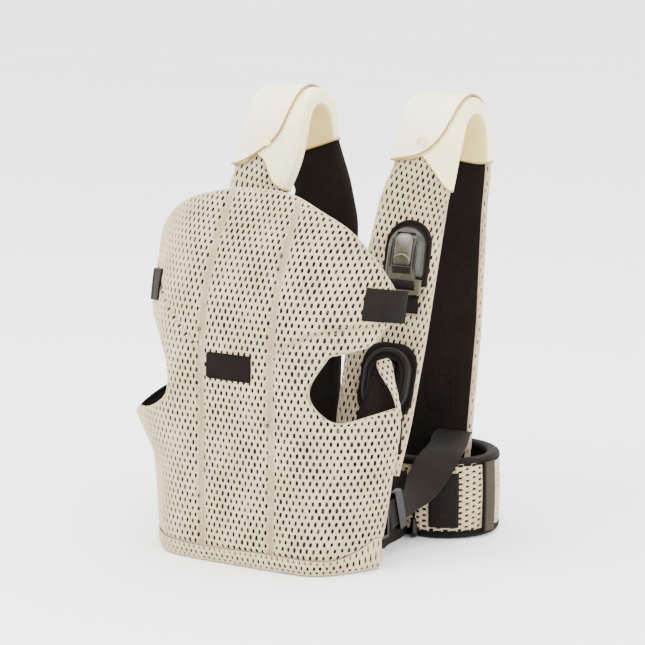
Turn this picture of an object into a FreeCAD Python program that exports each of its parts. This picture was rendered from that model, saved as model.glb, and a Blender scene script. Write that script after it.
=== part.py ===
"""Soft baby carrier standing upright: front pouch with a fold-down head support,
two padded shoulder straps with covers and buckles, and a padded waist belt.

Frame: millimetres, +Z up, +Y from the pouch back to the waist belt, +X to the right
when facing the pouch. The origin is under the middle of the carrier, on the surface it
stands on. "right" pieces have positive X, "left" pieces are their mirror images.
"""
import FreeCAD
import Part
import math
import os

V = FreeCAD.Vector
NO_TURN = FreeCAD.Rotation()

doc = FreeCAD.newDocument("soft_baby_carrier")
sheet = doc.addObject("Spreadsheet::Sheet", "dims")

# Driving dimensions: alias, value, meaning.
DIMENSIONS = [
    ("front_y", -138.8, "front face of the pouch mesh"),
    ("seam_half", 38.5, "half distance between the two upright seams"),
    ("hem_top", 15.0, "height of the bottom hem"),
    ("pouch_waist_z", 90.0, "height where the pouch is narrowest above its hem"),
    ("pouch_wing_z", 140.0, "height of the wing level"),
    ("pouch_top", 206.5, "top of the pouch, just under the fold"),
    ("fold_z", 207.0, "height of the head support's fold"),
    ("head_bottom", 207.5, "bottom of the head support, just over the fold"),
    ("mesh_thick", 2.0, "air mesh on the pouch and head support"),
    ("foam_thick", 5.0, "foam in the pouch and head support"),
    ("lining_thick", 1.5, "lining cloth"),
    ("label_length", 50.0, "woven label"),
    ("label_height", 25.0, "woven label"),
    ("label_thick", 1.2, "woven label"),
    ("label_left", -31.0, "left end of the label"),
    ("label_bottom", 175.0, "bottom of the label"),
    ("strap_foam", 10.0, "foam in the shoulder straps"),
    ("strap_mesh", 2.5, "air mesh on the shoulder straps"),
    ("cover_thick", 2.0, "cotton shoulder cover"),
    ("belt_height", 77.0, "waist belt"),
    ("belt_binding", 7.0, "binding along the belt's edges"),
    ("belt_foam", 8.0, "foam in the waist belt"),
    ("belt_skin", 2.0, "air mesh on the waist belt"),
    ("belt_back", 140.0, "back face of the waist belt"),
    ("belt_reach", 97.5, "half length of the belt's straight runs"),
    ("belt_turn", 46.5, "middle radius of the belt's round ends"),
    ("side_wall_height", 65.5, "side wall between pouch and belt"),
    ("side_wall_thick", 3.0, "side wall between pouch and belt"),
    ("seat_bottom", 2.0, "underside of the seat cloth"),
    ("seat_thick", 3.0, "seat cloth"),
    ("patch_thick", 1.5, "sewn backing patches"),
    ("housing_width", 42.0, "buckle housing"),
    ("housing_length", 50.0, "buckle housing"),
    ("housing_thick", 11.0, "buckle housing"),
    ("button_width", 17.0, "release button"),
    ("button_length", 26.0, "release button"),
    ("button_thick", 2.0, "release button"),
    ("clip_thick", 4.0, "buckle clip"),
    ("clip_width", 29.0, "tongue of the buckle clip"),
    ("webbing_width", 38.0, "wide webbing"),
    ("lock_width", 52.0, "guide lock plate"),
    ("lock_length", 66.0, "guide lock plate"),
    ("lock_thick", 5.0, "guide lock plate"),
    ("ring_bar", 3.0, "side ring's bar"),
]
for row, (alias, value, meaning) in enumerate(DIMENSIONS, start=1):
    sheet.set(f"A{row}", alias)
    sheet.set(f"B{row}", str(value))
    sheet.set(f"C{row}", meaning)
    sheet.setAlias(f"B{row}", alias)
doc.recompute()


def dim(alias):
    """A driving dimension's value from the sheet."""
    return float(sheet.get(alias))


FRONT = dim("front_y")
SEAM = dim("seam_half")
nodes = []


def keep(feature, label):
    """Mark a feature as a finished piece of the carrier, and name it."""
    feature.Label = label
    nodes.append(feature)
    return feature


def keep_pair(feature, label):
    """Keep a right-hand piece, and its mirror image as the left-hand piece."""
    keep(feature, f"{label}_right")
    mirrored = doc.addObject("Part::Mirroring", f"{label}_mirror")
    mirrored.Source = feature
    mirrored.Base = V(0, 0, 0)
    mirrored.Normal = V(1, 0, 0)
    keep(mirrored, f"{label}_left")


def origin_plane(body, role):
    return next(item for item in body.Origin.OriginFeatures if item.Role == role)


def add_sketch(body, name, role, edges, level="0"):
    """A sketch on one of a body's own planes, raised by an expression."""
    sketch = body.newObject("Sketcher::SketchObject", name)
    sketch.AttachmentSupport = [(origin_plane(body, role), "")]
    sketch.MapMode = "FlatFace"
    sketch.setExpression("AttachmentOffset.Base.z", level)
    for edge in edges:
        sketch.addGeometry(edge)
    return sketch


def padded_body(name, role, edges, length, level="0", symmetric=False):
    """A body with one pad, whose length and level are expressions."""
    body = doc.addObject("PartDesign::Body", name)
    sketch = add_sketch(body, f"{name}_outline", role, edges, level)
    pad = body.newObject("PartDesign::Pad", f"{name}_pad")
    pad.Profile = sketch
    pad.setExpression("Length", length)
    if symmetric:
        pad.SideType = "Symmetric"
    return body


def lofted_body(name, sections):
    """A body lofted with straight sides through (level, edges) sections."""
    body = doc.addObject("PartDesign::Body", name)
    sketches = [
        add_sketch(body, f"{name}_section{number}", "XY_Plane", edges, str(level))
        for number, (level, edges) in enumerate(sections)
    ]
    loft = body.newObject("PartDesign::AdditiveLoft", f"{name}_loft")
    loft.Profile = sketches[0]
    loft.Sections = sketches[1:]
    loft.Ruled = True
    return body


def box(name, sizes, corner, frame=FreeCAD.Placement()):
    """A block whose three sizes are expressions, with its low corner in a frame."""
    block = doc.addObject("Part::Box", name)
    for prop, expression in zip(("Length", "Width", "Height"), sizes):
        block.setExpression(prop, expression)
    block.Placement = frame.multiply(FreeCAD.Placement(V(*corner), NO_TURN))
    return block


def boolean(kind, name, base, tool):
    result = doc.addObject(f"Part::{kind}", name)
    result.Base = base
    result.Tool = tool
    return result


def fuse(name, shapes):
    result = doc.addObject("Part::MultiFuse", name)
    result.Shapes = shapes
    return result


def loop(points):
    """Closed straight-sided outline through plan points."""
    corners = [V(x, y, 0) for x, y in points]
    return [Part.LineSegment(a, b) for a, b in zip(corners, corners[1:] + corners[:1])]


def spline(points):
    curve = Part.BSplineCurve()
    curve.interpolate([V(x, y, 0) for x, y in points])
    return curve


def line(a, b):
    return Part.LineSegment(V(*a, 0), V(*b, 0))


def arc(centre, radius, start, end):
    """Arc between two angles in degrees, either way round."""
    def at(angle):
        turn = math.radians(angle)
        return V(centre[0] + radius * math.cos(turn), centre[1] + radius * math.sin(turn), 0)
    return Part.Arc(at(start), at((start + end) / 2), at(end))


def rounded_plate(width, length, top_radius, bottom_radius):
    """Upright plate outline, centred, with round corners at its top and bottom."""
    half, high = width / 2, length / 2
    top, low = top_radius, bottom_radius
    return [
        line((-half + low, -high), (half - low, -high)),
        arc((half - low, -high + low), low, -90, 0),
        line((half, -high + low), (half, high - top)),
        arc((half - top, high - top), top, 0, 90),
        line((half - top, high), (-half + top, high)),
        arc((-half + top, high - top), top, 90, 180),
        line((-half, high - top), (-half, -high + low)),
        arc((-half + low, -high + low), low, 180, 270),
    ]


# Front panel ---------------------------------------------------------------------------
# Seen from above the panel is flat between the upright seams, and each side wraps back
# on an arc: (radius, turn in degrees) for the left and the right side.
HEM_WRAP = ((83, 76), (83, 76))
HEM_TOP_WRAP = ((87, 74), (87, 74))
WAIST_WRAP = ((100, 64), (107, 65))
WING_WRAP = ((165, 40), (128, 57))
FOLD_WRAP = ((104, 60), (112, 62))
CHEEK_WRAP = ((104, 60), (106, 67.5))
CROWN_WRAP = ((113, 56), (106, 67.5))
# Height, backward lean and wrap of the head support's sections.
HEAD_SECTIONS = [(dim("head_bottom"), 0.0, FOLD_WRAP), (250.0, 7.0, CHEEK_WRAP),
                 (300.0, 27.0, CROWN_WRAP), (353.0, 59.8, CROWN_WRAP)]


def wrap_edges(wrap, near, far, lean=0.0):
    """Band between two depths behind the panel's front face."""
    (left_radius, left_turn), (right_radius, right_turn) = wrap
    y = FRONT + lean
    left, right = (-SEAM, y + left_radius), (SEAM, y + right_radius)
    left_end, right_end = -90 - left_turn, -90 + right_turn

    def tip(centre, radius, angle):
        turn = math.radians(angle)
        return centre[0] + radius * math.cos(turn), centre[1] + radius * math.sin(turn)

    return [
        arc(left, left_radius - near, left_end, -90),
        line((-SEAM, y + near), (SEAM, y + near)),
        arc(right, right_radius - near, -90, right_end),
        line(tip(right, right_radius - near, right_end), tip(right, right_radius - far, right_end)),
        arc(right, right_radius - far, right_end, -90),
        line((SEAM, y + far), (-SEAM, y + far)),
        arc(left, left_radius - far, -90, left_end),
        line(tip(left, left_radius - far, left_end), tip(left, left_radius - near, left_end)),
    ]


def lean_at(height):
    """Backward lean of the head support at a height, straight between its sections."""
    for (low, back_low, _), (high, back_high, _) in zip(HEAD_SECTIONS, HEAD_SECTIONS[1:]):
        if low <= height <= high:
            return back_low + (back_high - back_low) * (height - low) / (high - low)
    raise ValueError("height is outside the head support")


MESH_BACK = dim("mesh_thick")
FOAM_BACK = MESH_BACK + dim("foam_thick")
LINING_BACK = FOAM_BACK + dim("lining_thick")
LAYERS = [("mesh", 0.0, MESH_BACK), ("padding", MESH_BACK, FOAM_BACK),
          ("lining", FOAM_BACK, LINING_BACK)]
FAR_X = 170.0

# The pouch's outline from the front: arm openings are scooped out above both wings, and
# the left wing hangs lower than the right one.
right_scoop = [(FAR_X, 168), (128, 152), (100, 145), (80, 160), (76.5, 178), (93, dim("pouch_top"))]
left_scoop = [(-98, dim("pouch_top")), (-86, 188), (-82.5, 170), (-87, 153), (-112, 137), (-145, 127),
              (-FAR_X, 122)]
pouch_cutter = padded_body("pouch_outline", "XZ_Plane", [
    line((-FAR_X, -1), (FAR_X, -1)),
    line((FAR_X, -1), (FAR_X, 168)),
    spline(right_scoop),
    line(right_scoop[-1], left_scoop[0]),
    spline(left_scoop),
    line((-FAR_X, 122), (-FAR_X, -1)),
], "400", symmetric=True)

# The head support's outline: a dome whose right shoulder droops a little.
head_dome = [(150, 226), (137, 243), (132, 267), (117, 294), (94, 319), (62, 336), (25, 349),
             (-15, 351), (-48, 347), (-84, 334), (-108, 316), (-125, 290), (-140, 262)]
head_low_right = [(93, dim("head_bottom")), (106, 213), (120, 215), (150, 214)]
head_low_left = [(-140, 226), (-116, 219), (-98, dim("head_bottom"))]
head_cutter = padded_body("head_outline", "XZ_Plane", [
    line(head_low_left[-1], head_low_right[0]),
    spline(head_low_right),
    line(head_low_right[-1], head_dome[0]),
    spline(head_dome),
    line(head_dome[-1], head_low_left[0]),
    spline(head_low_left),
], "400", symmetric=True)

head_sheets = {}
for layer, near, far in LAYERS:
    pouch = lofted_body(f"pouch_{layer}_sheet", [
        ("dims.hem_top", wrap_edges(HEM_TOP_WRAP, near, far)),
        ("dims.pouch_waist_z", wrap_edges(WAIST_WRAP, near, far)),
        ("dims.pouch_wing_z", wrap_edges(WING_WRAP, near, far)),
        ("dims.pouch_top", wrap_edges(FOLD_WRAP, near, far)),
    ])
    keep(boolean("Common", f"pouch_{layer}_cut", pouch, pouch_cutter), f"pouch_{layer}")
    head = lofted_body(f"head_{layer}_sheet", [
        (level, wrap_edges(wrap, near, far, lean)) for level, lean, wrap in HEAD_SECTIONS
    ])
    head_sheets[layer] = head
    keep(boolean("Common", f"head_{layer}_cut", head, head_cutter), f"head_{layer}")

hem = lofted_body("pouch_hem_band", [
    ("0", wrap_edges(HEM_WRAP, 0, LINING_BACK)),
    ("dims.hem_top", wrap_edges(HEM_TOP_WRAP, 0, LINING_BACK)),
])
keep(hem, "pouch_hem")

label = box("label_block", ("dims.label_length", "dims.label_thick", "dims.label_height"),
            (dim("label_left"), FRONT - dim("label_thick"), dim("label_bottom")))
keep(label, "front_label")


# Webbing tabs sewn on the head support's side edges, which the strap buckles hold.
TAB_WRAP = {-1: (104, 60), 1: (106, 67.5)}
TAB_ON_CLOTH = 36.0
TAB_PAST_EDGE = 5.0


def head_tab_edges(side, level):
    radius, turn = TAB_WRAP[side]
    centre = (side * SEAM, FRONT + lean_at(level) + radius)
    tab_turn = math.degrees(TAB_ON_CLOTH / radius)
    first, last = -90 + side * (turn - tab_turn), -90 + side * (turn + TAB_PAST_EDGE)
    near, far = radius + 0.3, radius + 1.9

    def tip(reach, angle):
        turn_to = math.radians(angle)
        return centre[0] + reach * math.cos(turn_to), centre[1] + reach * math.sin(turn_to)

    return [arc(centre, far, first, last), line(tip(far, last), tip(near, last)),
            arc(centre, near, last, first), line(tip(near, first), tip(far, first))]


TAB_LOW, TAB_HIGH = 234.0, 250.0
for side, name in ((-1, "left"), (1, "right")):
    tab = lofted_body(f"head_tab_{name}_band", [
        (str(TAB_LOW), head_tab_edges(side, TAB_LOW)),
        (str(TAB_HIGH), head_tab_edges(side, TAB_HIGH)),
        (str(TAB_HIGH + 14), head_tab_edges(side, TAB_HIGH + 14)),
    ])
    keep(boolean("Cut", f"head_tab_{name}_cut", tab, head_sheets["mesh"]), f"head_tab_{name}")


# Ribbons: straps and webbing that run on a route in space -------------------------------
def ribbon(name, stations, near, far):
    """Solid band through (centre, half width, normal, across) stations."""
    wires = []
    for centre, half, normal, across in stations:
        corners = [centre + across * (side * half) + normal * depth
                   for side, depth in ((-1, near), (1, near), (1, far), (-1, far))]
        wires.append(Part.makePolygon(corners + corners[:1]))
    feature = doc.addObject("Part::Feature", name)
    feature.Shape = Part.makeLoft(wires, True, True)
    feature.Placement = FreeCAD.Placement()
    return feature


def route_stations(points, across_hint):
    """Stations with normals worked out from (x, y, z, half width) points."""
    places = [V(x, y, z) for x, y, z, half in points]
    stations = []
    for index, (place, point) in enumerate(zip(places, points)):
        before = places[max(index - 1, 0)]
        after = places[min(index + 1, len(places) - 1)]
        along = (after - before).normalize()
        normal = across_hint.cross(along).normalize()
        across = along.cross(normal).normalize()
        stations.append((place, point[3], normal, across))
    return stations


# The shoulder strap's middle line: up the front leg, over the top and down the back leg.
STRAP_TOP_Z = 391.0
STRAP_BEND = 28.0
STRAP_BACK_Y = 120.9
BEND_MIDDLE_Y = STRAP_BACK_Y - STRAP_BEND
strap_line = [(77, -23.5, 69.8, 32), (74, -9, 118, 40), (74.5, 16, 200, 42.5), (84, 52, 331, 36),
              (90, 58, 354, 32.5)]
for angle in range(172, -1, -15):
    turn = math.radians(angle)
    strap_line.append((96, BEND_MIDDLE_Y + STRAP_BEND * math.cos(turn),
                       STRAP_TOP_Z + STRAP_BEND * math.sin(turn), 31))
strap_line += [(94, STRAP_BACK_Y, 363, 36), (83, STRAP_BACK_Y, 306, 42), (80, STRAP_BACK_Y, 200, 41),
               (76, STRAP_BACK_Y - 4, 56, 35)]
# The left strap leans towards the middle at its top.
left_strap_line = [(-x, y, z, half) for x, y, z, half in strap_line[:3]]
left_strap_line += [(-94, 52, 331, 32.5), (-86, 58, 354, 32)]
left_strap_line += [(-78, y, z, half) for x, y, z, half in strap_line[5:-4]]
left_strap_line += [(-79, STRAP_BACK_Y, 368, 34.5), (-60, STRAP_BACK_Y, 325, 31),
                    (-60, STRAP_BACK_Y, 291, 40), (-66, STRAP_BACK_Y, 248, 42),
                    (-80, STRAP_BACK_Y, 190, 41), (-76, STRAP_BACK_Y - 4, 56, 35)]
HALF_FOAM = dim("strap_foam") / 2
STRAP_FACE = HALF_FOAM + dim("strap_mesh")
STRAP_INSIDE = HALF_FOAM + dim("lining_thick")
GAP = 0.3
SEWN_GAP = 0.1
cover_near = STRAP_FACE + GAP
cover_inside = STRAP_INSIDE + GAP
FULLY_COVERED_Z = 353.0


def strap_layers(side, points, cover_start, cover_end):
    """A padded strap's layers, and the cotton cover wrapped over its top."""
    stations = route_stations(points, V(1, 0, 0))
    keep(ribbon(f"strap_mesh_band_{side}", stations, HALF_FOAM, STRAP_FACE), f"strap_mesh_{side}")
    keep(ribbon(f"strap_foam_band_{side}", stations, -HALF_FOAM, HALF_FOAM), f"strap_padding_{side}")
    keep(ribbon(f"strap_lining_band_{side}", stations, -STRAP_INSIDE, -HALF_FOAM), f"strap_lining_{side}")
    covered = [(x, y, z, half + 2) for x, y, z, half in points if z > FULLY_COVERED_Z]
    cover_stations = route_stations([cover_start] + covered + [cover_end], V(1, 0, 0))
    cover = ribbon(f"cover_band_{side}", cover_stations, cover_near, cover_near + dim("cover_thick"))
    keep(cover, f"shoulder_cover_{side}")
    inner = ribbon(f"cover_lining_band_{side}", cover_stations, -cover_inside - dim("cover_thick"),
                   -cover_inside)
    keep(inner, f"cover_lining_{side}")


strap_layers("right", strap_line, (87.913, 55.913, 346, 35.72), (91.877, STRAP_BACK_Y, 352, 39.16))
strap_layers("left", left_strap_line, (-88.783, 55.913, 346, 34.17), (-71.93, STRAP_BACK_Y, 352, 35.2))


def face_frame(x, low, high, height):
    """Frame on the mesh face of a straight run of the strap's front leg: local x runs
    across, local y up the strap and local z out of its face."""
    (low_y, low_z), (high_y, high_z) = low, high
    y = low_y + (high_y - low_y) * (height - low_z) / (high_z - low_z)
    climb = math.atan2(high_z - low_z, high_y - low_y)
    normal = V(0, -math.sin(climb), math.cos(climb))
    turn = FreeCAD.Rotation(V(1, 0, 0), math.degrees(climb))
    return FreeCAD.Placement(V(x, y, height) + normal * (STRAP_FACE + SEWN_GAP), turn)


# Press studs that close the covers, one on each, in one piece group.
cover_top = cover_near + dim("cover_thick") - STRAP_FACE
studs = []
for x, height, name in ((-83, 375, "left"), (92, 384, "right")):
    disc = doc.addObject("Part::Cylinder", f"stud_{name}")
    disc.Radius = 5.5
    disc.Height = 1.6
    stud_frame = face_frame(x, strap_line[4][1:3], strap_line[5][1:3], height)
    disc.Placement = stud_frame.multiply(FreeCAD.Placement(V(0, 0, cover_top), NO_TURN))
    studs.append(disc)
keep(fuse("stud_group", studs), "cover_studs")

# Buckles on the front legs ---------------------------------------------------------------
buckle = face_frame(89, (16, 200), (52, 331), 280)
PATCH = dim("patch_thick")


def local_pad(name, edges, length, bottom, frame):
    """Plate padded out of a strap's face from a depth over that face."""
    body = padded_body(name, "XY_Plane", edges, length, str(bottom))
    body.Placement = frame
    return body


patch = local_pad("buckle_patch_plate", rounded_plate(54, 66, 26, 4), "dims.patch_thick", 0, buckle)
keep_pair(patch, "buckle_patch")

shell = local_pad("buckle_shell", rounded_plate(dim("housing_width"), dim("housing_length"), 20, 6),
                  "dims.housing_thick", PATCH, buckle)
HALF_CLIP = dim("clip_width") / 2
mouth = box("buckle_mouth", ("dims.clip_width + 1", "40", "dims.clip_thick + 1"),
            (-HALF_CLIP - 0.5, -26, PATCH + 2.5), buckle)
HALF_BUTTON = dim("button_width") / 2
window = box("buckle_window", ("dims.button_width + 1", "dims.button_length + 1", "5"),
             (-HALF_BUTTON - 0.5, -11.5, PATCH + 7.4), buckle)
hollow_shell = boolean("Cut", "buckle_housing_cut", shell, fuse("buckle_hollows", [mouth, window]))
keep_pair(hollow_shell, "buckle_housing")
BUTTON_BOTTOM = PATCH + dim("housing_thick") - dim("button_thick")
button_body = local_pad("button_plate", rounded_plate(dim("button_width"), dim("button_length"), 6, 4),
                        "dims.button_thick", BUTTON_BOTTOM, buckle)
button_body.Placement = buckle.multiply(FreeCAD.Placement(V(0, 2, 0), NO_TURN))
keep_pair(button_body, "release_button")

CLIP_BOTTOM = PATCH + 2.9
tongue = box("clip_tongue", ("dims.clip_width", "34", "dims.clip_thick"),
             (-HALF_CLIP, -25.6, CLIP_BOTTOM), buckle)
frame_plate = box("clip_frame", ("dims.webbing_width + 4", "15", "dims.clip_thick"),
                  (-21, -40.6, CLIP_BOTTOM), buckle)
slot = box("clip_slot", ("dims.webbing_width - 5", "4.5", "10"), (-16.5, -36.4, CLIP_BOTTOM - 3), buckle)
latch_relief = box("clip_relief", ("dims.button_width + 2", "16", "2"),
                   (-9.5, -9, CLIP_BOTTOM + 2.4), buckle)
clip_plate = fuse("clip_plate", [tongue, frame_plate])
keep_pair(boolean("Cut", "clip_cut", clip_plate, fuse("clip_hollows", [slot, latch_relief])), "buckle_clip")

# Webbing that comes up behind the clip, through its slot and over its upper bar.
WEB = 1.4
web_low, web_high = PATCH + 0.6, CLIP_BOTTOM + dim("clip_thick") + 0.3
web_outline = [(-58, web_low), (-58, web_low + WEB), (-35.6, web_low + WEB), (-35.6, web_high + WEB),
               (-27, web_high + WEB), (-27, web_high), (-34.1, web_high), (-34.1, web_low)]
clip_web = padded_body("clip_webbing_band", "YZ_Plane", loop(web_outline), "dims.webbing_width - 7",
                       symmetric=True)
clip_web.Placement = buckle
keep_pair(clip_web, "clip_webbing")

# Guide locks low on the front legs, which hold the pouch's wings -------------------------
lock = face_frame(86, (-9, 118), (16, 200), 160)
keep_pair(local_pad("lock_patch_plate", rounded_plate(60, 74, 22, 22), "dims.patch_thick", 0, lock),
          "lock_patch")
plate = local_pad("lock_base", rounded_plate(dim("lock_width"), dim("lock_length"), 25, 25),
                  "dims.lock_thick", PATCH, lock)
track = box("lock_track", ("20.8", "40.8", "3.2"), (-10.4, -22.4, PATCH + 2), lock)
keep_pair(boolean("Cut", "lock_plate_cut", plate, track), "lock_plate")
slider = box("lock_slider_block", ("20", "24", "5.4"), (-10, -6, PATCH + 2.4), lock)
keep_pair(slider, "lock_slider")

# Tongues of mesh that rise from the wings towards the guide locks.
tongue_line = [(139.2, -66.4, 126, 11), (139.2, -66.4, 150, 11), (135, -64, 166, 9),
               (127, -60.5, 178, 7), (118.5, -58, 190, 6.5)]
tongue_stations = route_stations(tongue_line, V(-0.35, 0.93, 0.1))
keep_pair(ribbon("wing_tongue_band", tongue_stations, -1.5, 1.5), "wing_tongue")

# Waist belt: a closed loop that stands on its lower binding ------------------------------
BELT_MIDDLE = dim("belt_back") - (dim("belt_turn") + dim("belt_foam") / 2 + dim("belt_skin"))


def belt_loop(depth):
    """Stadium outline at a distance outside the belt's middle line."""
    reach, radius = dim("belt_reach"), dim("belt_turn") + depth
    front, back = BELT_MIDDLE - radius, BELT_MIDDLE + radius
    return [line((-reach, front), (reach, front)), arc((reach, BELT_MIDDLE), radius, -90, 90),
            line((reach, back), (-reach, back)), arc((-reach, BELT_MIDDLE), radius, 90, 270)]


def belt_band(name, inner, outer, height, level):
    return padded_body(name, "XY_Plane", belt_loop(outer) + belt_loop(inner), height, level)


BELT_IN = -dim("belt_foam") / 2
BELT_OUT = dim("belt_foam") / 2
BELT_LINED = BELT_IN - dim("lining_thick")
BELT_FACE = BELT_OUT + dim("belt_skin")
BETWEEN_BINDINGS = "dims.belt_height - 2 * dims.belt_binding"
keep(belt_band("belt_foam_band", BELT_IN, BELT_OUT, BETWEEN_BINDINGS, "dims.belt_binding"), "belt_padding")
keep(belt_band("belt_mesh_band", BELT_OUT, BELT_FACE, BETWEEN_BINDINGS, "dims.belt_binding"), "belt_mesh")
keep(belt_band("belt_lining_band", BELT_LINED, BELT_IN, BETWEEN_BINDINGS, "dims.belt_binding"), "belt_lining")
keep(belt_band("belt_low_edge", BELT_LINED, BELT_FACE, "dims.belt_binding", "0"), "belt_binding_bottom")
keep(belt_band("belt_top_edge", BELT_LINED, BELT_FACE, "dims.belt_binding",
               "dims.belt_height - dims.belt_binding"), "belt_binding_top")


def belt_patch(name, start, end, thick, height, level):
    """Band of webbing sewn over the belt's round right end, between two angles."""
    centre = (dim("belt_reach"), BELT_MIDDLE)
    near, far = dim("belt_turn") + BELT_FACE, dim("belt_turn") + BELT_FACE + thick

    def tip(reach, angle):
        turn = math.radians(angle)
        return centre[0] + reach * math.cos(turn), centre[1] + reach * math.sin(turn)

    return padded_body(name, "XY_Plane", [
        arc(centre, far, start, end), line(tip(far, end), tip(near, end)),
        arc(centre, near, end, start), line(tip(near, start), tip(far, start)),
    ], height, level)


keep(belt_patch("belt_keeper_band", -78, -48, 1.6, "52", "12"), "belt_keeper")
keep(belt_patch("belt_end_band", -18, -2, 2.0, "66", "6"), "belt_end_tab")

# Black cloth between the pouch and the belt ----------------------------------------------
BELT_FRONT = BELT_MIDDLE - dim("belt_turn") - BELT_FACE
wall_line = [(115.5, -72.4), (100, -46), (86, BELT_FRONT - 0.6)]


def band_outline(points, thick):
    """Outline of a band of even thickness along an open line of plan points."""
    places = [V(x, y, 0) for x, y in points]
    sides = {-1: [], 1: []}
    for index, place in enumerate(places):
        before = places[max(index - 1, 0)]
        after = places[min(index + 1, len(places) - 1)]
        along = (after - before).normalize()
        across = V(-along.y, along.x, 0)
        for side, found in sides.items():
            found.append(place + across * (side * thick / 2))
    ends = sides[-1] + sides[1][::-1]
    return loop([(point.x, point.y) for point in ends])


keep_pair(padded_body("side_wall_band", "XY_Plane", band_outline(wall_line, dim("side_wall_thick")),
                      "dims.side_wall_height", "dims.seat_bottom"), "side_wall")

seat_half = [(36, FRONT + LINING_BACK + 0.4), (70, FRONT + 20), (92, FRONT + 38), (104, FRONT + 63),
             (96, -46), (82, BELT_FRONT)]
seat_outline = seat_half + [(-x, y) for x, y in reversed(seat_half)]
keep(padded_body("seat_sheet", "XY_Plane", loop(seat_outline), "dims.seat_thick", "dims.seat_bottom"),
     "seat_base")

# Wide webbing from the strap's back end, over the belt's front, to the side ring. It turns
# on edge on the way: each point has its half width and the direction of its width.
RING_WEB = 14.0
HALF_WEB = dim("webbing_width") / 2
web_line = [
    ((100, 109, 92), HALF_WEB, (1, 0, 0)), ((100.4, 101, 91.3), HALF_WEB, (1, 0, 0)),
    ((112, 74, 88), HALF_WEB, (1, 0.1, 0)), ((120, 48, 86.5), HALF_WEB, (1, 0.2, -0.1)),
    ((120, 29, 76), HALF_WEB, (0.9, 0.2, -0.35)), ((115, 12, 58), 17, (0.6, 0.2, -0.7)),
    ((110.2, -4, 47), RING_WEB, (0.05, 0.2, -0.98)), ((107.8, -38, 39.5), RING_WEB, (0.05, 0.2, -0.98)),
]
web_stations = []
for index, (place, half, width_way) in enumerate(web_line):
    before = V(*web_line[max(index - 1, 0)][0])
    after = V(*web_line[min(index + 1, len(web_line) - 1)][0])
    along = (after - before).normalize()
    normal = V(*width_way).cross(along).normalize()
    web_stations.append((V(*place), half, normal, along.cross(normal).normalize()))
# The last run is straight, so both of its ends share one set of directions.
ring_run = (V(*web_line[-1][0]) - V(*web_line[-2][0])).normalize()
ring_normal = V(*web_line[-1][2]).cross(ring_run).normalize()
ring_across = ring_run.cross(ring_normal).normalize()
for index in (-2, -1):
    web_stations[index] = (web_stations[index][0], RING_WEB, ring_normal, ring_across)
keep_pair(ribbon("wide_webbing_band", web_stations, -0.8, 0.8), "wide_webbing")

# Slider that shortens the wide webbing, on its last straight run.
slide_turn = FreeCAD.Rotation(ring_across, ring_run, ring_across.cross(ring_run), "ZXY")
middle = (V(*web_line[-1][0]) + V(*web_line[-2][0])) * 0.5
slider_frame = FreeCAD.Placement(middle, slide_turn)
print("slider run", [round(value, 5) for value in ring_run])
SLIDER_LENGTH, SLIDER_THICK, SLIDER_BAR = 11.0, 6.0, 4.0
half_slider = RING_WEB + 1 + SLIDER_BAR
adjuster_block = box("adjuster_block", (str(2 * half_slider), str(SLIDER_LENGTH), str(SLIDER_THICK)),
                     (-half_slider, -SLIDER_LENGTH / 2, -SLIDER_THICK / 2), slider_frame)
adjuster_slot = box("adjuster_slot", (str(2 * RING_WEB + 2), "30", "3"), (-RING_WEB - 1, -15, -1.5),
                    slider_frame)
keep_pair(boolean("Cut", "adjuster_cut", adjuster_block, adjuster_slot), "webbing_slider")

# Upright rings on the side walls.
ring_frame = FreeCAD.Placement(V(107.2, -55.4, 21), NO_TURN)
ring_outer = box("ring_outer", ("dims.ring_bar", "14", "37"), (0, 0, 0), ring_frame)
ring_inner = box("ring_inner", ("20", "14 - 2 * dims.ring_bar", "37 - 2 * dims.ring_bar"),
                 (-8, dim("ring_bar"), dim("ring_bar")), ring_frame)
keep_pair(boolean("Cut", "ring_cut", ring_outer, ring_inner), "side_ring")

# Stitched patches that join the straps' back ends.
patch_station = V(82, STRAP_BACK_Y - 2.6 - STRAP_INSIDE, 128)
strap_patch = box("strap_patch_block", ("32", "1.2", "36"),
                  (patch_station.x - 16, patch_station.y - 1.2, patch_station.z - 18))
keep_pair(strap_patch, "strap_patch")

# Elastic cord with a pull, hanging in front of the belt ----------------------------------
CORD_RADIUS = 1.25
cord_route = [V(97, 34.1, 50), V(97.2, 30.8, 46.2), V(97.6, 29.4, 39.6), V(98, 29.9, 30),
              V(97.4, 29.7, 20.2)]


def cord_tube(points, radius):
    """Round tube of straight runs joined by tangent arcs, and its arcs' radii."""
    edges, radii, start = [], [], points[0]
    for before, corner, after in zip(points, points[1:], points[2:]):
        run_in, run_out = corner - before, after - corner
        half_turn = run_in.getAngle(run_out) / 2
        reach = 0.45 * min(run_in.Length, run_out.Length)
        radii.append(reach / math.tan(half_turn))
        ahead, behind = V(run_out).normalize(), V(run_in).normalize()
        arc_start, arc_end = corner - behind * reach, corner + ahead * reach
        inward = (ahead - behind).normalize()
        middle = corner + inward * (radii[-1] / math.cos(half_turn) - radii[-1])
        edges.append(Part.LineSegment(start, arc_start).toShape())
        edges.append(Part.Arc(arc_start, middle, arc_end).toShape())
        start = arc_end
    edges.append(Part.LineSegment(start, points[-1]).toShape())
    path = Part.Wire(edges)
    ring = Part.Wire(Part.makeCircle(radius, points[0], points[1] - points[0]))
    tube = path.makePipeShell([ring], True, False)
    return tube, radii, path.Length


tube, cord_radii, cord_length = cord_tube(cord_route, CORD_RADIUS)
print("cord radii", [round(radius, 1) for radius in cord_radii], "length", round(cord_length, 1))
print("cord volume", round(tube.Volume, 1), "of", round(math.pi * CORD_RADIUS ** 2 * cord_length, 1))
cord = doc.addObject("Part::Feature", "cord_tube")
cord.Shape = tube
cord.Placement = FreeCAD.Placement()
keep(cord, "elastic_cord")

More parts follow.
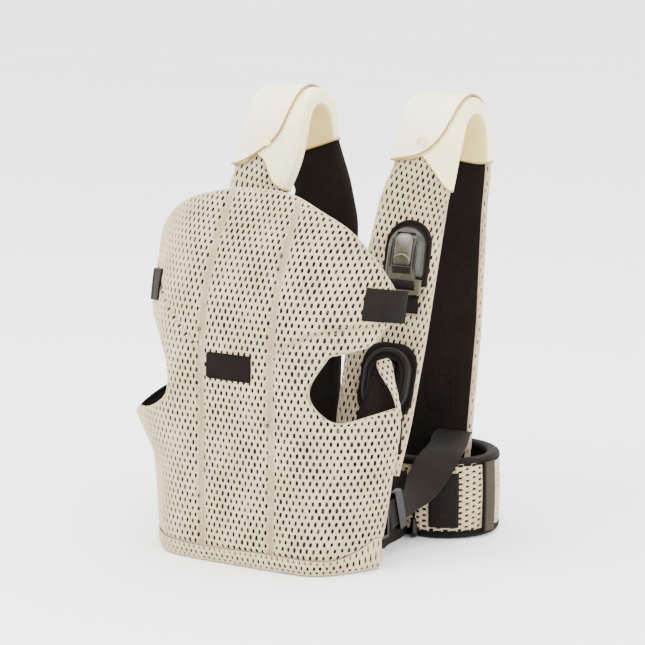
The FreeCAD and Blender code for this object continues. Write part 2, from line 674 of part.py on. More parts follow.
pull_base = cord_route[-1]
PULL_RADIUS, PULL_DROP, PULL_SHOULDER = 4.7, 14.3, 18.0
shoulder = math.radians(PULL_SHOULDER)
shoulder_point = (PULL_RADIUS * math.cos(shoulder), PULL_RADIUS * math.sin(shoulder) - PULL_DROP)
pull_tip = (0, -PULL_DROP - PULL_RADIUS)
pull_edges = [line((0, 0), (2.2, 0)), line((2.2, 0), shoulder_point),
              arc((0, -PULL_DROP), PULL_RADIUS, PULL_SHOULDER, -90), line(pull_tip, (0, 0))]
pull_body = doc.addObject("PartDesign::Body", "cord_pull_body")
pull_sketch = add_sketch(pull_body, "cord_pull_profile", "XZ_Plane", pull_edges)
pull_turned = pull_body.newObject("PartDesign::Revolution", "cord_pull_turned")
pull_turned.Profile = pull_sketch
pull_turned.ReferenceAxis = (pull_sketch, ["V_Axis"])
pull_turned.Angle = 360
pull_body.Placement = FreeCAD.Placement(pull_base, NO_TURN)
keep(pull_body, "cord_pull")


# Build, check and write -------------------------------------------------------------------
doc.recompute()
for item in doc.Objects:
    for state in item.State:
        if state in ("Invalid", "Error"):
            raise RuntimeError(f"{item.Name} is {state}")
for node in nodes:
    if node.Shape.isNull() or not node.Shape.isValid():
        raise RuntimeError(f"{node.Label} has no valid shape")

os.makedirs("parts", exist_ok=True)
for node in nodes:
    node.Shape.exportStep(f"parts/{node.Label}.step")
print(len(nodes), "pieces written")
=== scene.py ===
"""Soft baby carrier: the visual model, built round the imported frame."""
import math

import bpy
import numpy as np
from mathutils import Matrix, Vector, noise


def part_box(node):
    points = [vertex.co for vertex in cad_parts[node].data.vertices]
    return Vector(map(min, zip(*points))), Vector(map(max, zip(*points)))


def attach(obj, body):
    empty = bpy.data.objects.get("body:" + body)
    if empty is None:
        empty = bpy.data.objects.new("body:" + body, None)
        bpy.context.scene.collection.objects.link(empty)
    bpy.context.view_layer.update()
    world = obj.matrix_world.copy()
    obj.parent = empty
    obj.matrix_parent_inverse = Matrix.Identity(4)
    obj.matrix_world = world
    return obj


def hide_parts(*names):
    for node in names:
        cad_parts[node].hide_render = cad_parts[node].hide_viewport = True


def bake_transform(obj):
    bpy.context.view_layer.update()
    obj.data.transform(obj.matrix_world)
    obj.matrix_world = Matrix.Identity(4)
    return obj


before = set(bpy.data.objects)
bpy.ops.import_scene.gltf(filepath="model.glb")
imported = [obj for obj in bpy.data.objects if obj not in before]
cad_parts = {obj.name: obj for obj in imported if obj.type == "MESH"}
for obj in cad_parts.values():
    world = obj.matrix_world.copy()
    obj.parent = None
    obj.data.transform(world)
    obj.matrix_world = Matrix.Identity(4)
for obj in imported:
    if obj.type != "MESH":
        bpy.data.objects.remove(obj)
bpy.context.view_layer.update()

MM = 0.001
TAU = 2 * math.pi

# Camera -----------------------------------------------------------------------------------
AZIMUTH, ELEVATION, DISTANCE = math.radians(31), math.radians(11), 2.4
cam_right = Vector((math.cos(AZIMUTH), math.sin(AZIMUTH), 0))
cam_forward = Vector((-math.sin(AZIMUTH) * math.cos(ELEVATION),
                      math.cos(AZIMUTH) * math.cos(ELEVATION), -math.sin(ELEVATION)))
cam_up = cam_right.cross(cam_forward)
cam_target = Vector((0, -0.140, 0)) + cam_right * 0.082 + cam_up * 0.229
camera = bpy.data.objects.new("camera", bpy.data.cameras.new("camera"))
bpy.context.scene.collection.objects.link(camera)
camera.location = cam_target - cam_forward * DISTANCE
camera.rotation_euler = cam_forward.to_track_quat("-Z", "Y").to_euler()
camera.data.lens = 142.5
camera.data.sensor_width = 36
bpy.context.scene.camera = camera


# Materials --------------------------------------------------------------------------------
class Shader:
    """A Principled material and short calls for its node tree."""

    def __init__(self, name, rough, **sockets):
        self.mat = bpy.data.materials.new(name)
        self.mat.use_nodes = True
        self.tree = self.mat.node_tree
        self.bsdf = self.tree.nodes["Principled BSDF"]
        self.bsdf.inputs["Roughness"].default_value = rough
        for socket, value in sockets.items():
            self.bsdf.inputs[socket.replace("_", " ")].default_value = value

    def node(self, kind, **inputs):
        node = self.tree.nodes.new("ShaderNode" + kind)
        for key, value in inputs.items():
            if hasattr(node, key):
                setattr(node, key, value)
                continue
            socket = node.inputs[int(key[2:]) if key.startswith("in") else key.replace("_", " ")]
            if isinstance(value, bpy.types.NodeSocket):
                self.tree.links.new(value, socket)
            else:
                socket.default_value = value
        return node

    def math(self, operation, a, b=0.0):
        return self.node("Math", operation=operation, in0=a, in1=b).outputs[0]

    def coords(self, kind="UV"):
        return self.node("TexCoord").outputs[kind]

    def stripes(self, vector, direction, pitch):
        """A sine wave from -1 to 1 along a direction, pitch in metres."""
        turn = [TAU / pitch * part for part in direction]
        dot = self.node("VectorMath", operation="DOT_PRODUCT", in0=vector, in1=turn)
        return self.math("SINE", dot.outputs["Value"])

    def noise(self, vector, size, detail=2.0):
        """Noise from 0 to 1 whose blotches are about size metres."""
        found = self.node("TexNoise", Vector=vector, Scale=0.6 / size, Detail=detail)
        return found.outputs["Fac"]

    def ramp(self, value, stops):
        ramp = self.node("ValToRGB", Fac=value)
        elements = ramp.color_ramp.elements
        while len(elements) < len(stops):
            elements.new(0.5)
        for element, (place, colour) in zip(elements, stops):
            element.position = place
            element.color = (*linear(colour), 1)
        return ramp.outputs["Color"]

    def mix(self, share, a, b, blend="MIX"):
        node = self.node("Mix", data_type="RGBA", blend_type=blend)
        self.feed(node.inputs[0], share)
        self.feed(node.inputs[6], a)
        self.feed(node.inputs[7], b)
        return node.outputs[2]

    def feed(self, socket, value):
        if isinstance(value, bpy.types.NodeSocket):
            self.tree.links.new(value, socket)
        elif isinstance(value, tuple):
            socket.default_value = (*linear(value), 1)
        else:
            socket.default_value = value

    def finish(self, colour=None, bump=None, depth=0.0002, rough=None):
        if colour is not None:
            self.feed(self.bsdf.inputs["Base Color"], colour)
        if bump is not None:
            found = self.node("Bump", Height=bump, Distance=depth, Strength=1.0)
            self.tree.links.new(found.outputs[0], self.bsdf.inputs["Normal"])
        if rough is not None:
            self.tree.links.new(rough, self.bsdf.inputs["Roughness"])
        return self.mat


def linear(colour):
    """Linear values of an sRGB colour given from 0 to 255."""
    return tuple((c / 255 / 12.92) if c <= 10 else ((c / 255 + 0.055) / 1.055) ** 2.4 for c in colour)


def knit_material(name, light, shade, pitch=0.0011):
    """Warp-knitted yarn: fine slanted loops and soft blotches."""
    s = Shader(name, 0.85, Sheen_Weight=0.1, Sheen_Roughness=0.5)
    uv, place = s.coords(), s.coords("Object")
    loops = s.math("MULTIPLY", s.stripes(uv, (0.9, 1.0, 0), pitch), s.stripes(uv, (-0.9, 1.0, 0), pitch))
    fuzz = s.noise(place, 0.0007, 3)
    blotch = s.noise(place, 0.018)
    tone = s.math("ADD", s.math("MULTIPLY", loops, 0.16), s.math("MULTIPLY", blotch, 0.55))
    tone = s.math("ADD", tone, s.math("MULTIPLY", fuzz, 0.45))
    colour = s.ramp(tone, [(0.2, shade), (0.72, light)])
    height = s.math("ADD", s.math("MULTIPLY", loops, 0.7), fuzz)
    return s.finish(colour, height, 0.00025)


def weave_material(name, light, shade, pitch=0.0012, rough=0.8, rib=None, sheen=0.15, depth=0.0002, ior=1.4):
    """Woven cloth: a plain weave, or ribs along v where rib gives their pitch."""
    s = Shader(name, rough, Sheen_Weight=sheen, Sheen_Roughness=0.4, IOR=ior)
    uv, place = s.coords(), s.coords("Object")
    across = s.stripes(uv, (1, 0, 0), rib or pitch)
    along = s.stripes(uv, (0, 1, 0), pitch)
    threads = s.math("MULTIPLY", across, along)
    if rib:
        threads = s.math("ADD", s.math("MULTIPLY", across, 0.7), s.math("MULTIPLY", threads, 0.4))
    fuzz = s.noise(place, 0.0009, 3)
    blotch = s.noise(place, 0.03)
    tone = s.math("ADD", s.math("MULTIPLY", threads, 0.22), s.math("MULTIPLY", blotch, 0.5))
    tone = s.math("ADD", tone, s.math("MULTIPLY", fuzz, 0.5))
    colour = s.ramp(tone, [(0.2, shade), (0.8, light)])
    return s.finish(colour, s.math("ADD", threads, fuzz), depth)


def quilted_material(name, light, shade, pitch):
    """Cotton sewn in narrow ribs across the strap, with soft puckers."""
    s = Shader(name, 0.85, Sheen_Weight=0.1, Sheen_Roughness=0.4, IOR=1.4)
    uv, place = s.coords(), s.coords("Object")
    wander = s.math("MULTIPLY", s.noise(place, 0.02), 2.5)
    dot = s.node("VectorMath", operation="DOT_PRODUCT", in0=uv, in1=(0.35 * TAU / pitch, TAU / pitch, 0))
    ribs = s.math("SINE", s.math("ADD", dot.outputs["Value"], wander))
    fuzz = s.noise(place, 0.0012, 3)
    tone = s.math("ADD", s.math("MULTIPLY", ribs, 0.12), s.math("MULTIPLY", s.noise(place, 0.02), 0.5))
    tone = s.math("ADD", tone, s.math("MULTIPLY", fuzz, 0.4))
    return s.finish(s.ramp(tone, [(0.15, shade), (0.62, light)]), s.math("ADD", ribs, s.math("MULTIPLY", fuzz, 0.3)), 0.00035)


def plastic_material(name, colour, rough, coat, grain, ior=1.45):
    """Moulded plastic with a fine grain and soft scuffs."""
    s = Shader(name, rough, Coat_Weight=coat, Coat_Roughness=0.2, IOR=ior)
    place = s.coords("Object")
    fine = s.noise(place, grain, 2)
    wide = s.noise(place, 0.012)
    dark = tuple(c * 0.72 for c in colour)
    base = s.ramp(wide, [(0.3, dark), (0.7, colour)])
    scuffs = s.math("ADD", s.math("MULTIPLY", wide, 0.25), rough - 0.1)
    return s.finish(base, fine, 0.00006, scuffs)


def backing_material():
    """The dark layer that shows through the holes, with patches of pale pile."""
    s = Shader("mesh_backing", 0.95)
    place = s.coords("Object")
    patches = s.noise(place, 0.0035, 3)
    colour = s.ramp(patches, [(0.44, (28, 24, 23)), (0.58, (66, 59, 54)), (0.74, (128, 115, 96))])
    return s.finish(colour, s.noise(place, 0.001, 3), 0.0004)


def floor_material():
    s = Shader("floor", 0.9)
    grain = s.noise(s.coords("Object"), 0.4)
    return s.finish(s.ramp(grain, [(0.3, (249, 249, 249)), (0.7, (252, 252, 252))]), grain, 0.0001)


MATS = {
    "mesh": knit_material("air_mesh_yarn", (217, 198, 162), (172, 151, 118)),
    "seam": knit_material("seam_knit", (192, 173, 140), (148, 130, 101), 0.0009),
    "backing": backing_material(),
    # Stitch thread for the seams and hem: a tan thread, darkened as painted shade of the creases it lies in.
    "thread": weave_material("thread", (172, 153, 121), (124, 108, 82), 0.0006),
    "black_thread": weave_material("black_thread", (27, 23, 19), (12, 10, 8), 0.0006, sheen=0.0, ior=1.15),
    "lining": weave_material("black_lining", (34, 28, 24), (13, 11, 9), 0.0014, 0.85, sheen=0.01, ior=1.12),
    "ribbed_lining": weave_material("ribbed_lining", (38, 32, 27), (11, 9, 8), 0.0012, 0.75, rib=0.0022, sheen=0.01,
                                    ior=1.15),
    "webbing": weave_material("black_webbing", (30, 25, 21), (11, 9, 8), 0.0011, 0.6, rib=0.0016, sheen=0.02, ior=1.15),
    "wide_webbing": weave_material("wide_webbing", (36, 31, 25), (17, 14, 11), 0.001, 0.5, rib=0.0013, sheen=0.02,
                                   ior=1.18),
    "end_tab": weave_material("end_tab", (76, 70, 56), (44, 40, 32), 0.0013, 0.75, sheen=0.02, ior=1.2),
    "cotton": weave_material("cover_cotton", (255, 252, 226), (250, 236, 190), 0.0007, 0.85, sheen=0.1, depth=0.0001),
    "quilted": quilted_material("cover_quilted", (255, 252, 212), (244, 225, 148), 0.0034),
    # Darker, yellower copy of the cover cotton: the cover's inside face, and painted shade on its in-facing side.
    "cotton_inside_and_shade": weave_material("cover_inside_and_painted_shade", (246, 228, 160), (224, 202, 126), 0.0007, 0.9, depth=0.0001),
    "piping": weave_material("piping", (210, 174, 96), (172, 136, 64), 0.0008, 0.8),
    "label": weave_material("label", (32, 27, 24), (15, 12, 11), 0.0005, 0.6, sheen=0.0, ior=1.12),
    "buckle": plastic_material("buckle_plastic", (84, 80, 64), 0.26, 0.3, 0.0006),
    "buckle_shell": plastic_material("buckle_shell_plastic", (46, 43, 34), 0.24, 0.2, 0.0006, 1.35),
    "black_plastic": plastic_material("black_plastic", (22, 19, 17), 0.42, 0.04, 0.0004, 1.25),
    "gloss_black": plastic_material("gloss_black", (13, 12, 11), 0.22, 0.12, 0.0005, 1.25),
    "stud": plastic_material("stud", (250, 236, 190), 0.35, 0.3, 0.0005),
    "elastic": weave_material("elastic", (18, 15, 13), (8, 7, 6), 0.0006, 0.7, sheen=0.0, ior=1.15),
    "floor": floor_material(),
}


# Building pieces ----------------------------------------------------------------------------
def add_piece(name, verts, faces, material, uv=None, smooth=True, face_mats=None):
    """A mesh object from points in millimetres, with its UVs in metres."""
    verts = np.asarray(verts, float)
    mesh = bpy.data.meshes.new(name)
    mesh.from_pydata((verts * MM).tolist(), [], [list(map(int, f)) for f in faces])
    materials = material if isinstance(material, (list, tuple)) else [material]
    for key in materials:
        mesh.materials.append(MATS[key])
    if uv is not None:
        layer = mesh.uv_layers.new(name="UVMap")
        index = np.empty(len(mesh.loops), np.int32)
        mesh.loops.foreach_get("vertex_index", index)
        layer.data.foreach_set("uv", (np.asarray(uv, float)[index] * MM).ravel())
    mesh.polygons.foreach_set("use_smooth", [smooth] * len(mesh.polygons))
    if face_mats is not None:
        mesh.polygons.foreach_set("material_index", [int(m) for m in face_mats])
    mesh.update()
    obj = bpy.data.objects.new(name, mesh)
    bpy.context.scene.collection.objects.link(obj)
    return obj


def settle(obj, body, slot, *nodes):
    """The piece rides on a body and stands for CAD nodes, which it hides; slot is not used."""
    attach(obj, body)
    if nodes:
        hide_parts(*nodes)
    return obj


def paint_node(node, key):
    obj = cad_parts[node]
    if not obj.material_slots:
        obj.data.materials.append(MATS[key])
    for slot in obj.material_slots:
        slot.material = MATS[key]


def grid_faces(rows, columns, wrap_rows=False, wrap_columns=False, start=0, flip=False):
    faces = []
    for i in range(rows if wrap_rows else rows - 1):
        for j in range(columns if wrap_columns else columns - 1):
            a, b = i * columns + j, i * columns + (j + 1) % columns
            c, d = ((i + 1) % rows) * columns + (j + 1) % columns, ((i + 1) % rows) * columns + j
            face = [start + a, start + b, start + c, start + d]
            faces.append(face[::-1] if flip else face)
    return faces


def sweep(name, rings, material, closed=False, uv_scale=1.0):
    """A tube through rings of points; its ends are capped unless it closes on itself."""
    rings = np.asarray(rings, float)
    count, around = rings.shape[:2]
    faces = grid_faces(count, around, wrap_rows=closed, wrap_columns=True)
    if not closed:
        faces.append(list(range(around))[::-1])
        faces.append([(count - 1) * around + k for k in range(around)])
    step = np.linalg.norm(np.diff(rings, axis=1, append=rings[:, :1]), axis=2).mean(0)
    across = np.concatenate([[0], np.cumsum(step)[:-1]])
    along = np.concatenate([[0], np.cumsum(np.linalg.norm(np.diff(rings.mean(1), axis=0), axis=1))])
    uv = np.stack(np.broadcast_arrays(across[None, :], along[:, None]), -1).reshape(-1, 2) * uv_scale
    return add_piece(name, rings.reshape(-1, 3), faces, material, uv)


def band_profile(half, low, high, edge=None, count=10):
    """Cross-section points of a flat band with rounded edges: (across, out) pairs."""
    radius = (high - low) / 2 if edge is None else edge
    middle = (high + low) / 2
    lift = (high - low) / 2
    points = [(x, high) for x in np.linspace(-half + radius, half - radius, count)]
    points += [(half - radius + radius * math.sin(t), middle + lift * math.cos(t))
               for t in np.linspace(0, math.pi, 6)[1:-1]]
    points += [(x, low) for x in np.linspace(half - radius, -half + radius, count)]
    points += [(-half + radius - radius * math.sin(t), middle - lift * math.cos(t))
               for t in np.linspace(0, math.pi, 6)[1:-1]]
    return np.array(points)


def smooth_rows(values, times):
    """Evens out the rows of an array, keeping its ends."""
    values = np.array(values, float)
    for _ in range(times):
        inner = (values[:-2] + 2 * values[1:-1] + values[2:]) / 4
        values[1:-1] = inner
    return values


class Route:
    """A band's middle line through (x, y, z, half width) points, with its directions."""

    def __init__(self, points, hint=(1, 0, 0), step=3.0, smooth=14):
        points = np.array(points, float)
        runs = np.linalg.norm(np.diff(points[:, :3], axis=0), axis=1)
        known = np.concatenate([[0], np.cumsum(runs)])
        count = max(4, int(known[-1] / step))
        t = np.linspace(0, known[-1], count)
        dense = np.stack([np.interp(t, known, points[:, k]) for k in range(points.shape[1])], 1)
        dense = smooth_rows(dense, smooth)
        self.place, self.half = dense[:, :3], dense[:, 3]
        self.t = np.concatenate([[0], np.cumsum(np.linalg.norm(np.diff(self.place, axis=0), axis=1))])
        along = np.gradient(self.place, self.t, axis=0)
        along /= np.linalg.norm(along, axis=1)[:, None]
        hints = np.broadcast_to(np.array(hint, float), along.shape) if len(np.shape(hint)) == 1 else None
        if hints is None:
            hints = np.stack([np.interp(t, known, np.array(hint, float)[:, k]) for k in range(3)], 1)
            hints = smooth_rows(hints, smooth)
        normal = np.cross(hints, along)
        normal /= np.linalg.norm(normal, axis=1)[:, None]
        self.along, self.normal, self.across = along, normal, np.cross(along, normal)
        self.length = self.t[-1]

    def pick(self, values, t):
        return np.stack([np.interp(t, self.t, values[:, k]) for k in range(values.shape[1])], -1)

    def at(self, t, across, out):
        """Points at distances along, across and out of the band's middle."""
        t = np.clip(t, 0, self.length)
        return (self.pick(self.place, t) + self.pick(self.across, t) * np.asarray(across)[..., None]
                + self.pick(self.normal, t) * np.asarray(out)[..., None])

    def width(self, t):
        return np.interp(t, self.t, self.half)

    def height(self, t):
        return np.interp(t, self.t, self.place[:, 2])


def ribbon(name, route, low, high, material, slack=0.0, scale=1.0, start=0.0, end=None, ends_round=0.0):
    """A band with rounded edges along a route."""
    end = route.length if end is None else end
    rings = []
    for t in np.linspace(start, end, max(4, int((end - start) / 2.5))):
        half = float(route.width(t)) * scale
        near = min(t - start, end - t)
        if near < ends_round:
            half *= math.sqrt(max(0.04, 1 - (1 - near / ends_round) ** 2))
        profile = band_profile(half, low, high)
        sag = slack * math.sin(math.pi * (t - start) / (end - start))
        rings.append(route.at(np.full(len(profile), t), profile[:, 0], profile[:, 1] + sag))
    return sweep(name, rings, material)


def tube(name, points, radius, material, closed=False, sides=8):
    """A round tube along points in millimetres."""
    points = np.asarray(points, float)
    along = np.gradient(points, axis=0)
    along /= np.linalg.norm(along, axis=1)[:, None] + 1e-9
    side = np.cross(along, (0.13, 0.31, 0.94))
    side /= np.linalg.norm(side, axis=1)[:, None]
    other = np.cross(along, side)
    turn = np.linspace(0, TAU, sides, endpoint=False)
    ring = side[:, None] * np.cos(turn)[None, :, None] + other[:, None] * np.sin(turn)[None, :, None]
    return sweep(name, points[:, None] + ring * radius, material, closed)


def merge(name, objects):
    """Joins objects into the first one and gives it the name."""
    depsgraph = bpy.context.evaluated_depsgraph_get()
    verts, faces, mats, index, uvs = [], [], [], [], []
    for obj in objects:
        mesh = obj.data
        base = len(verts)
        verts += [tuple(v.co / MM) for v in mesh.vertices]
        slots = []
        for material in mesh.materials:
            if material not in mats:
                mats.append(material)
            slots.append(mats.index(material))
        vertex_uv = np.zeros((len(mesh.vertices), 2))
        if mesh.uv_layers:
            flat = np.empty(len(mesh.loops) * 2)
            mesh.uv_layers[0].data.foreach_get("uv", flat)
            loop_index = np.empty(len(mesh.loops), np.int32)
            mesh.loops.foreach_get("vertex_index", loop_index)
            vertex_uv[loop_index] = flat.reshape(-1, 2) / MM
        uvs.append(vertex_uv)
        for polygon in mesh.polygons:
            faces.append([base + v for v in polygon.vertices])
            index.append(slots[polygon.material_index])
    for obj in objects:
        bpy.data.objects.remove(obj)
    keys = [next(key for key, mat in MATS.items() if mat == material) for material in mats]
    return add_piece(name, verts, faces, keys, np.concatenate(uvs), face_mats=index)


def stitches(name, line, out, material, pitch=4.0, length=2.7, radius=0.35):
    """A row of stitches: small rounded threads laid along a line of points."""
    line = np.asarray(line, float)
    out = np.broadcast_to(np.asarray(out, float), line.shape)
    t = np.concatenate([[0], np.cumsum(np.linalg.norm(np.diff(line, axis=0), axis=1))])
    verts, faces = [], []
    shape = [(-0.5, 0.0), (-0.42, 0.7), (-0.2, 1.0), (0.2, 1.0), (0.42, 0.7), (0.5, 0.0)]
    for k in range(int(t[-1] / pitch)):
        centre_t = (k + 0.5) * pitch
        ends = [np.array([np.interp(centre_t + s * length, t, line[:, c]) for c in range(3)]) for s, _ in shape]
        up = np.array([np.interp(centre_t, t, out[:, c]) for c in range(3)])
        run = ends[-1] - ends[0]
        run /= np.linalg.norm(run) + 1e-9
        side = np.cross(run, up)
        side /= np.linalg.norm(side) + 1e-9
        base = len(verts)
        for place, (_, swell) in zip(ends, shape):
            for turn in np.linspace(0, TAU, 6, endpoint=False):
                verts.append(place + (side * math.cos(turn) + up * math.sin(turn) * 0.8) * radius * max(swell, 0.15))
        for i in range(len(shape) - 1):
            for j in range(6):
                faces.append([base + i * 6 + j, base + i * 6 + (j + 1) % 6,
                              base + (i + 1) * 6 + (j + 1) % 6, base + (i + 1) * 6 + j])
    return add_piece(name, verts, faces, material, np.zeros((len(verts), 2)))


# Elastic cord and its pull -----------------------------------------------------------------------------------
CORD_ROUTE = [(97, 34.1, 50), (97.2, 30.8, 46.2), (97.6, 29.4, 39.6), (98, 29.9, 30), (97.4, 29.7, 20.2)]
curve = bpy.data.curves.new("elastic_cord_line", "CURVE")
curve.dimensions = "3D"
spline = curve.splines.new("NURBS")
spline.points.add(len(CORD_ROUTE) - 1)
for point, place in zip(spline.points, CORD_ROUTE):
    point.co = (*[c * MM for c in place], 1)
spline.order_u = 3
spline.use_endpoint_u = True
spline.resolution_u = 12
curve.bevel_depth = 0.00125
curve.bevel_resolution = 5
curve.use_fill_caps = True
curve.materials.append(MATS["elastic"])
cord = bpy.data.objects.new("elastic_cord_line", curve)
bpy.context.scene.collection.objects.link(cord)
settle(cord, "carrier", "elastic", "elastic_cord")
paint_node("cord_pull", "gloss_black")

# Open-celled mesh cloth -----------------------------------------------------------------------
CELL_RIM = np.array([(.5, 0), (.5, .25), (.5, .5), (0, .5), (-.5, .5), (-.5, .25), (-.5, 0),
                     (-.5, -.25), (-.5, -.5), (0, -.5), (.5, -.5), (.5, -.25)])
SLOT_RIM = np.array([(1, 0), (.94, .5), (.6, .86), (0, 1), (-.6, .86), (-.94, .5), (-1, 0),
                     (-.94, -.5), (-.6, -.86), (0, -1), (.6, -.86), (.94, -.5)])


def cell_cloth(name, centres, cell, hole, openness, wanted, to_space, material, seed, deep=2.0,
               slant=0.06, seam=None):
    """Mesh cloth of cells, each a knitted rim round a slot. centres are (u, v) points, cell
    and hole are (width, height); openness gives each cell's share of the full slot, wanted
    says which cells to keep, and to_space maps (u, v, depth) to points."""
    rng = np.random.default_rng(seed)
    keep = wanted(centres)
    centres = centres[keep]
    count = len(centres)
    share = np.clip(openness(centres), 0, 1)
    wobble = rng.uniform(0.88, 1.04, (count, 2))
    tilt = slant + rng.normal(0, 0.04, count)
    shift = rng.normal(0, 0.10, (count, 2))
    rim = centres[:, None] + CELL_RIM[None] * np.array(cell)
    flat = rim.reshape(-1, 2)
    keys = np.round(flat * 50).astype(np.int64)
    _, first, inverse = np.unique(keys[:, 0] * 1000003 + keys[:, 1], return_index=True, return_inverse=True)
    rim_uv = flat[first]
    inverse = inverse.reshape(count, 12)
    half = np.array(hole) / 2 * wobble * (0.35 + 0.65 * share[:, None])
    slot = SLOT_RIM[None] * half[:, None]
    slot = np.stack([slot[..., 0] + slot[..., 1] * tilt[:, None], slot[..., 1]], -1) + shift[:, None]
    centre = centres[:, None]
    lip = centre + slot * 1.0 + (CELL_RIM[None] * np.array(cell) - slot) * 0.42
    rings = [(lip, -0.22), (centre + slot * 1.06, 0.16), (centre + slot * 0.90, deep * 0.55), (centre + slot * 0.86, deep)]
    open_cell = share > 0.12
    uv, depth, faces, mats = [rim_uv], [np.full(len(rim_uv), 0.05)], [], []
    base = len(rim_uv)
    index = [inverse]
    for points, level in rings:
        uv.append(points.reshape(-1, 2))
        levels = np.where(open_cell, level, 0.0)[:, None] * np.ones(12)
        depth.append(levels.ravel())
        index.append(base + np.arange(count * 12).reshape(count, 12))
        base += count * 12
    middle = base + np.arange(count)
    uv.append(centres)
    depth.append(np.full(count, 0.0))
    nxt = np.roll(np.arange(12), -1)
    in_seam = np.zeros(count, int) if seam is None else seam(centres).astype(int)
    for c in range(count):
        last = 4 if open_cell[c] else 1
        for ring in range(last):
            a, b = index[ring][c], index[ring + 1][c]
            for k in range(12):
                faces.append((a[k], a[nxt[k]], b[nxt[k]], b[k]))
        if not open_cell[c]:
            b = index[1][c]
            for k in range(12):
                faces.append((b[k], b[nxt[k]], middle[c]))
        mats += [in_seam[c]] * (len(faces) - len(mats))
    uv = np.concatenate(uv)
    verts = to_space(uv[:, 0], uv[:, 1], np.concatenate(depth))
    used = np.unique(np.concatenate([np.array(f) for f in faces]))
    renumber = np.full(len(verts), -1)
    renumber[used] = np.arange(len(used))
    faces = [[renumber[v] for v in f] for f in faces]
    materials = [material] if seam is None else [material, "seam"]
    return add_piece(name, verts[used], faces, materials, uv[used], face_mats=None if seam is None else mats)


def brick_centres(u0, u1, v0, v1, cell):
    """Centres of cells in staggered rows."""
    rows = []
    for r in range(int((v1 - v0) / cell[1]) + 1):
        us = np.arange(u0 + (r % 2) * cell[0] / 2, u1, cell[0])
        rows.append(np.stack([us, np.full(len(us), v0 + r * cell[1])], 1))
    return np.concatenate(rows)


# Front panel: pouch and head support in one cloth ------------------------------------------------
FRONT, SEAM = -138.8, 38.5
SECTIONS = np.array([
    (-20, 0, 82, 76, 82, 76), (0, 0, 83, 76, 83, 76), (15, 0, 87, 74, 87, 74), (90, 0, 100, 64, 107, 65),
    (140, 0, 165, 40, 128, 57), (207, 0, 104, 60, 112, 62), (250, 7, 104, 60, 106, 67.5),
    (300, 27, 113, 56, 106, 67.5), (353, 59.8, 113, 56, 106, 67.5), (385, 79.6, 113, 56, 106, 67.5)])
LEVELS = np.arange(-20, 385.5, 1.0)
SECTION_AT = smooth_rows(np.stack([np.interp(LEVELS, SECTIONS[:, 0], SECTIONS[:, k]) for k in range(1, 6)], 1), 60)
SLOPE = np.gradient(SECTION_AT[:, 0])
CLIMB = np.concatenate([[0], np.cumsum(np.hypot(1, (SLOPE[1:] + SLOPE[:-1]) / 2))]) + LEVELS[0]


def section(z):
    return [np.interp(z, LEVELS, SECTION_AT[:, k]) for k in range(5)]


def height_of(climb):
    return np.interp(climb, CLIMB, LEVELS)


def climb_of(z):
    return np.interp(z, LEVELS, CLIMB)


def panel_base(u, v):
    """Point of the panel's front face at arc length u from the middle and climb v."""
    z = height_of(v)
    lean, left_radius, _, right_radius, _ = section(z)
    radius = np.where(u < 0, left_radius, right_radius)
    turn = np.maximum(np.abs(u) - SEAM, 0) / radius
    x = np.sign(u) * (np.minimum(np.abs(u), SEAM) + radius * np.sin(turn))
    y = FRONT + lean + radius * (1 - np.cos(turn))
    y = y - 6.0 * np.exp(-((np.abs(x) - 84) / 21) ** 2) * np.exp(-(np.maximum(z, 0) / 45) ** 2)
    return np.stack([x, y, z], -1)


def panel_normal(u, v):
    across = panel_base(u + 0.5, v) - panel_base(u - 0.5, v)
    up = panel_base(u, v + 0.5) - panel_base(u, v - 0.5)
    normal = np.cross(across, up)
    return normal / (np.linalg.norm(normal, axis=-1)[..., None] + 1e-12)


def side_end(z, side):
    _, left_radius, left_turn, right_radius, right_turn = section(z)
    radius, turn = (left_radius, left_turn) if side < 0 else (right_radius, right_turn)
    return SEAM + radius * np.radians(turn)


def catmull(points, per=8):
    """Smooth line through plan points."""
    points = np.array(points, float)
    ends = [2 * points[0] - points[1], *points, 2 * points[-1] - points[-2]]
    out = []
    for a, b, c, d in zip(ends, ends[1:], ends[2:], ends[3:]):
        for s in np.linspace(0, 1, per, endpoint=False):
            out.append(0.5 * (2 * b + (c - a) * s + (2 * a - 5 * b + 4 * c - d) * s * s
                              + (3 * b - a - 3 * c + d) * s ** 3))
    out.append(points[-1])
    return np.array(out)


def to_cloth(points):
    """(x, z) outline points as (u, v) on the cloth, dropping those past its sides."""
    found = []
    for x, z in points:
        _, left_radius, left_turn, right_radius, right_turn = section(z)
        radius, turn = (left_radius, left_turn) if x < 0 else (right_radius, right_turn)
        over = (abs(x) - SEAM) / radius
        if over > math.sin(math.radians(turn)):
            continue
        u = abs(x) if over <= 0 else SEAM + radius * math.asin(over)
        found.append((math.copysign(u, x), float(climb_of(z))))
    return found


def side_line(side, low, high):
    heights = np.linspace(low, high, max(2, int(abs(high - low) / 5)))
    return [(side * float(side_end(z, side)), float(climb_of(z))) for z in heights]


PANEL_LOW = 3.0
right_scoop = catmull([(170, 168), (128, 152), (100, 145), (80, 160), (76.5, 178), (93, 206.5)])
head_low_right = catmull([(93, 207.5), (104, 210), (114, 212.5), (123, 216.5), (128, 223), (131, 231), (140, 243)])
head_dome = catmull([(150, 226), (137, 243), (132, 267), (117, 294), (94, 319), (62, 336), (25, 349),
                     (-15, 351), (-50, 348), (-92, 336), (-119, 318), (-131, 300), (-136, 285), (-142, 262)])
head_low_left = catmull([(-140, 226), (-116, 219), (-98, 207.5)])
left_scoop = catmull([(-98, 206.5), (-86, 188), (-82.5, 170), (-87, 153), (-112, 137), (-145, 127),
                      (-170, 122)])
parts = [to_cloth(right_scoop), to_cloth(head_low_right), to_cloth(head_dome), to_cloth(head_low_left),
         to_cloth(left_scoop)]
height_at = lambda pair: float(height_of(pair[1]))
OUTLINE = side_line(1, PANEL_LOW, height_at(parts[0][0]))[:-1] + parts[0] + parts[1]
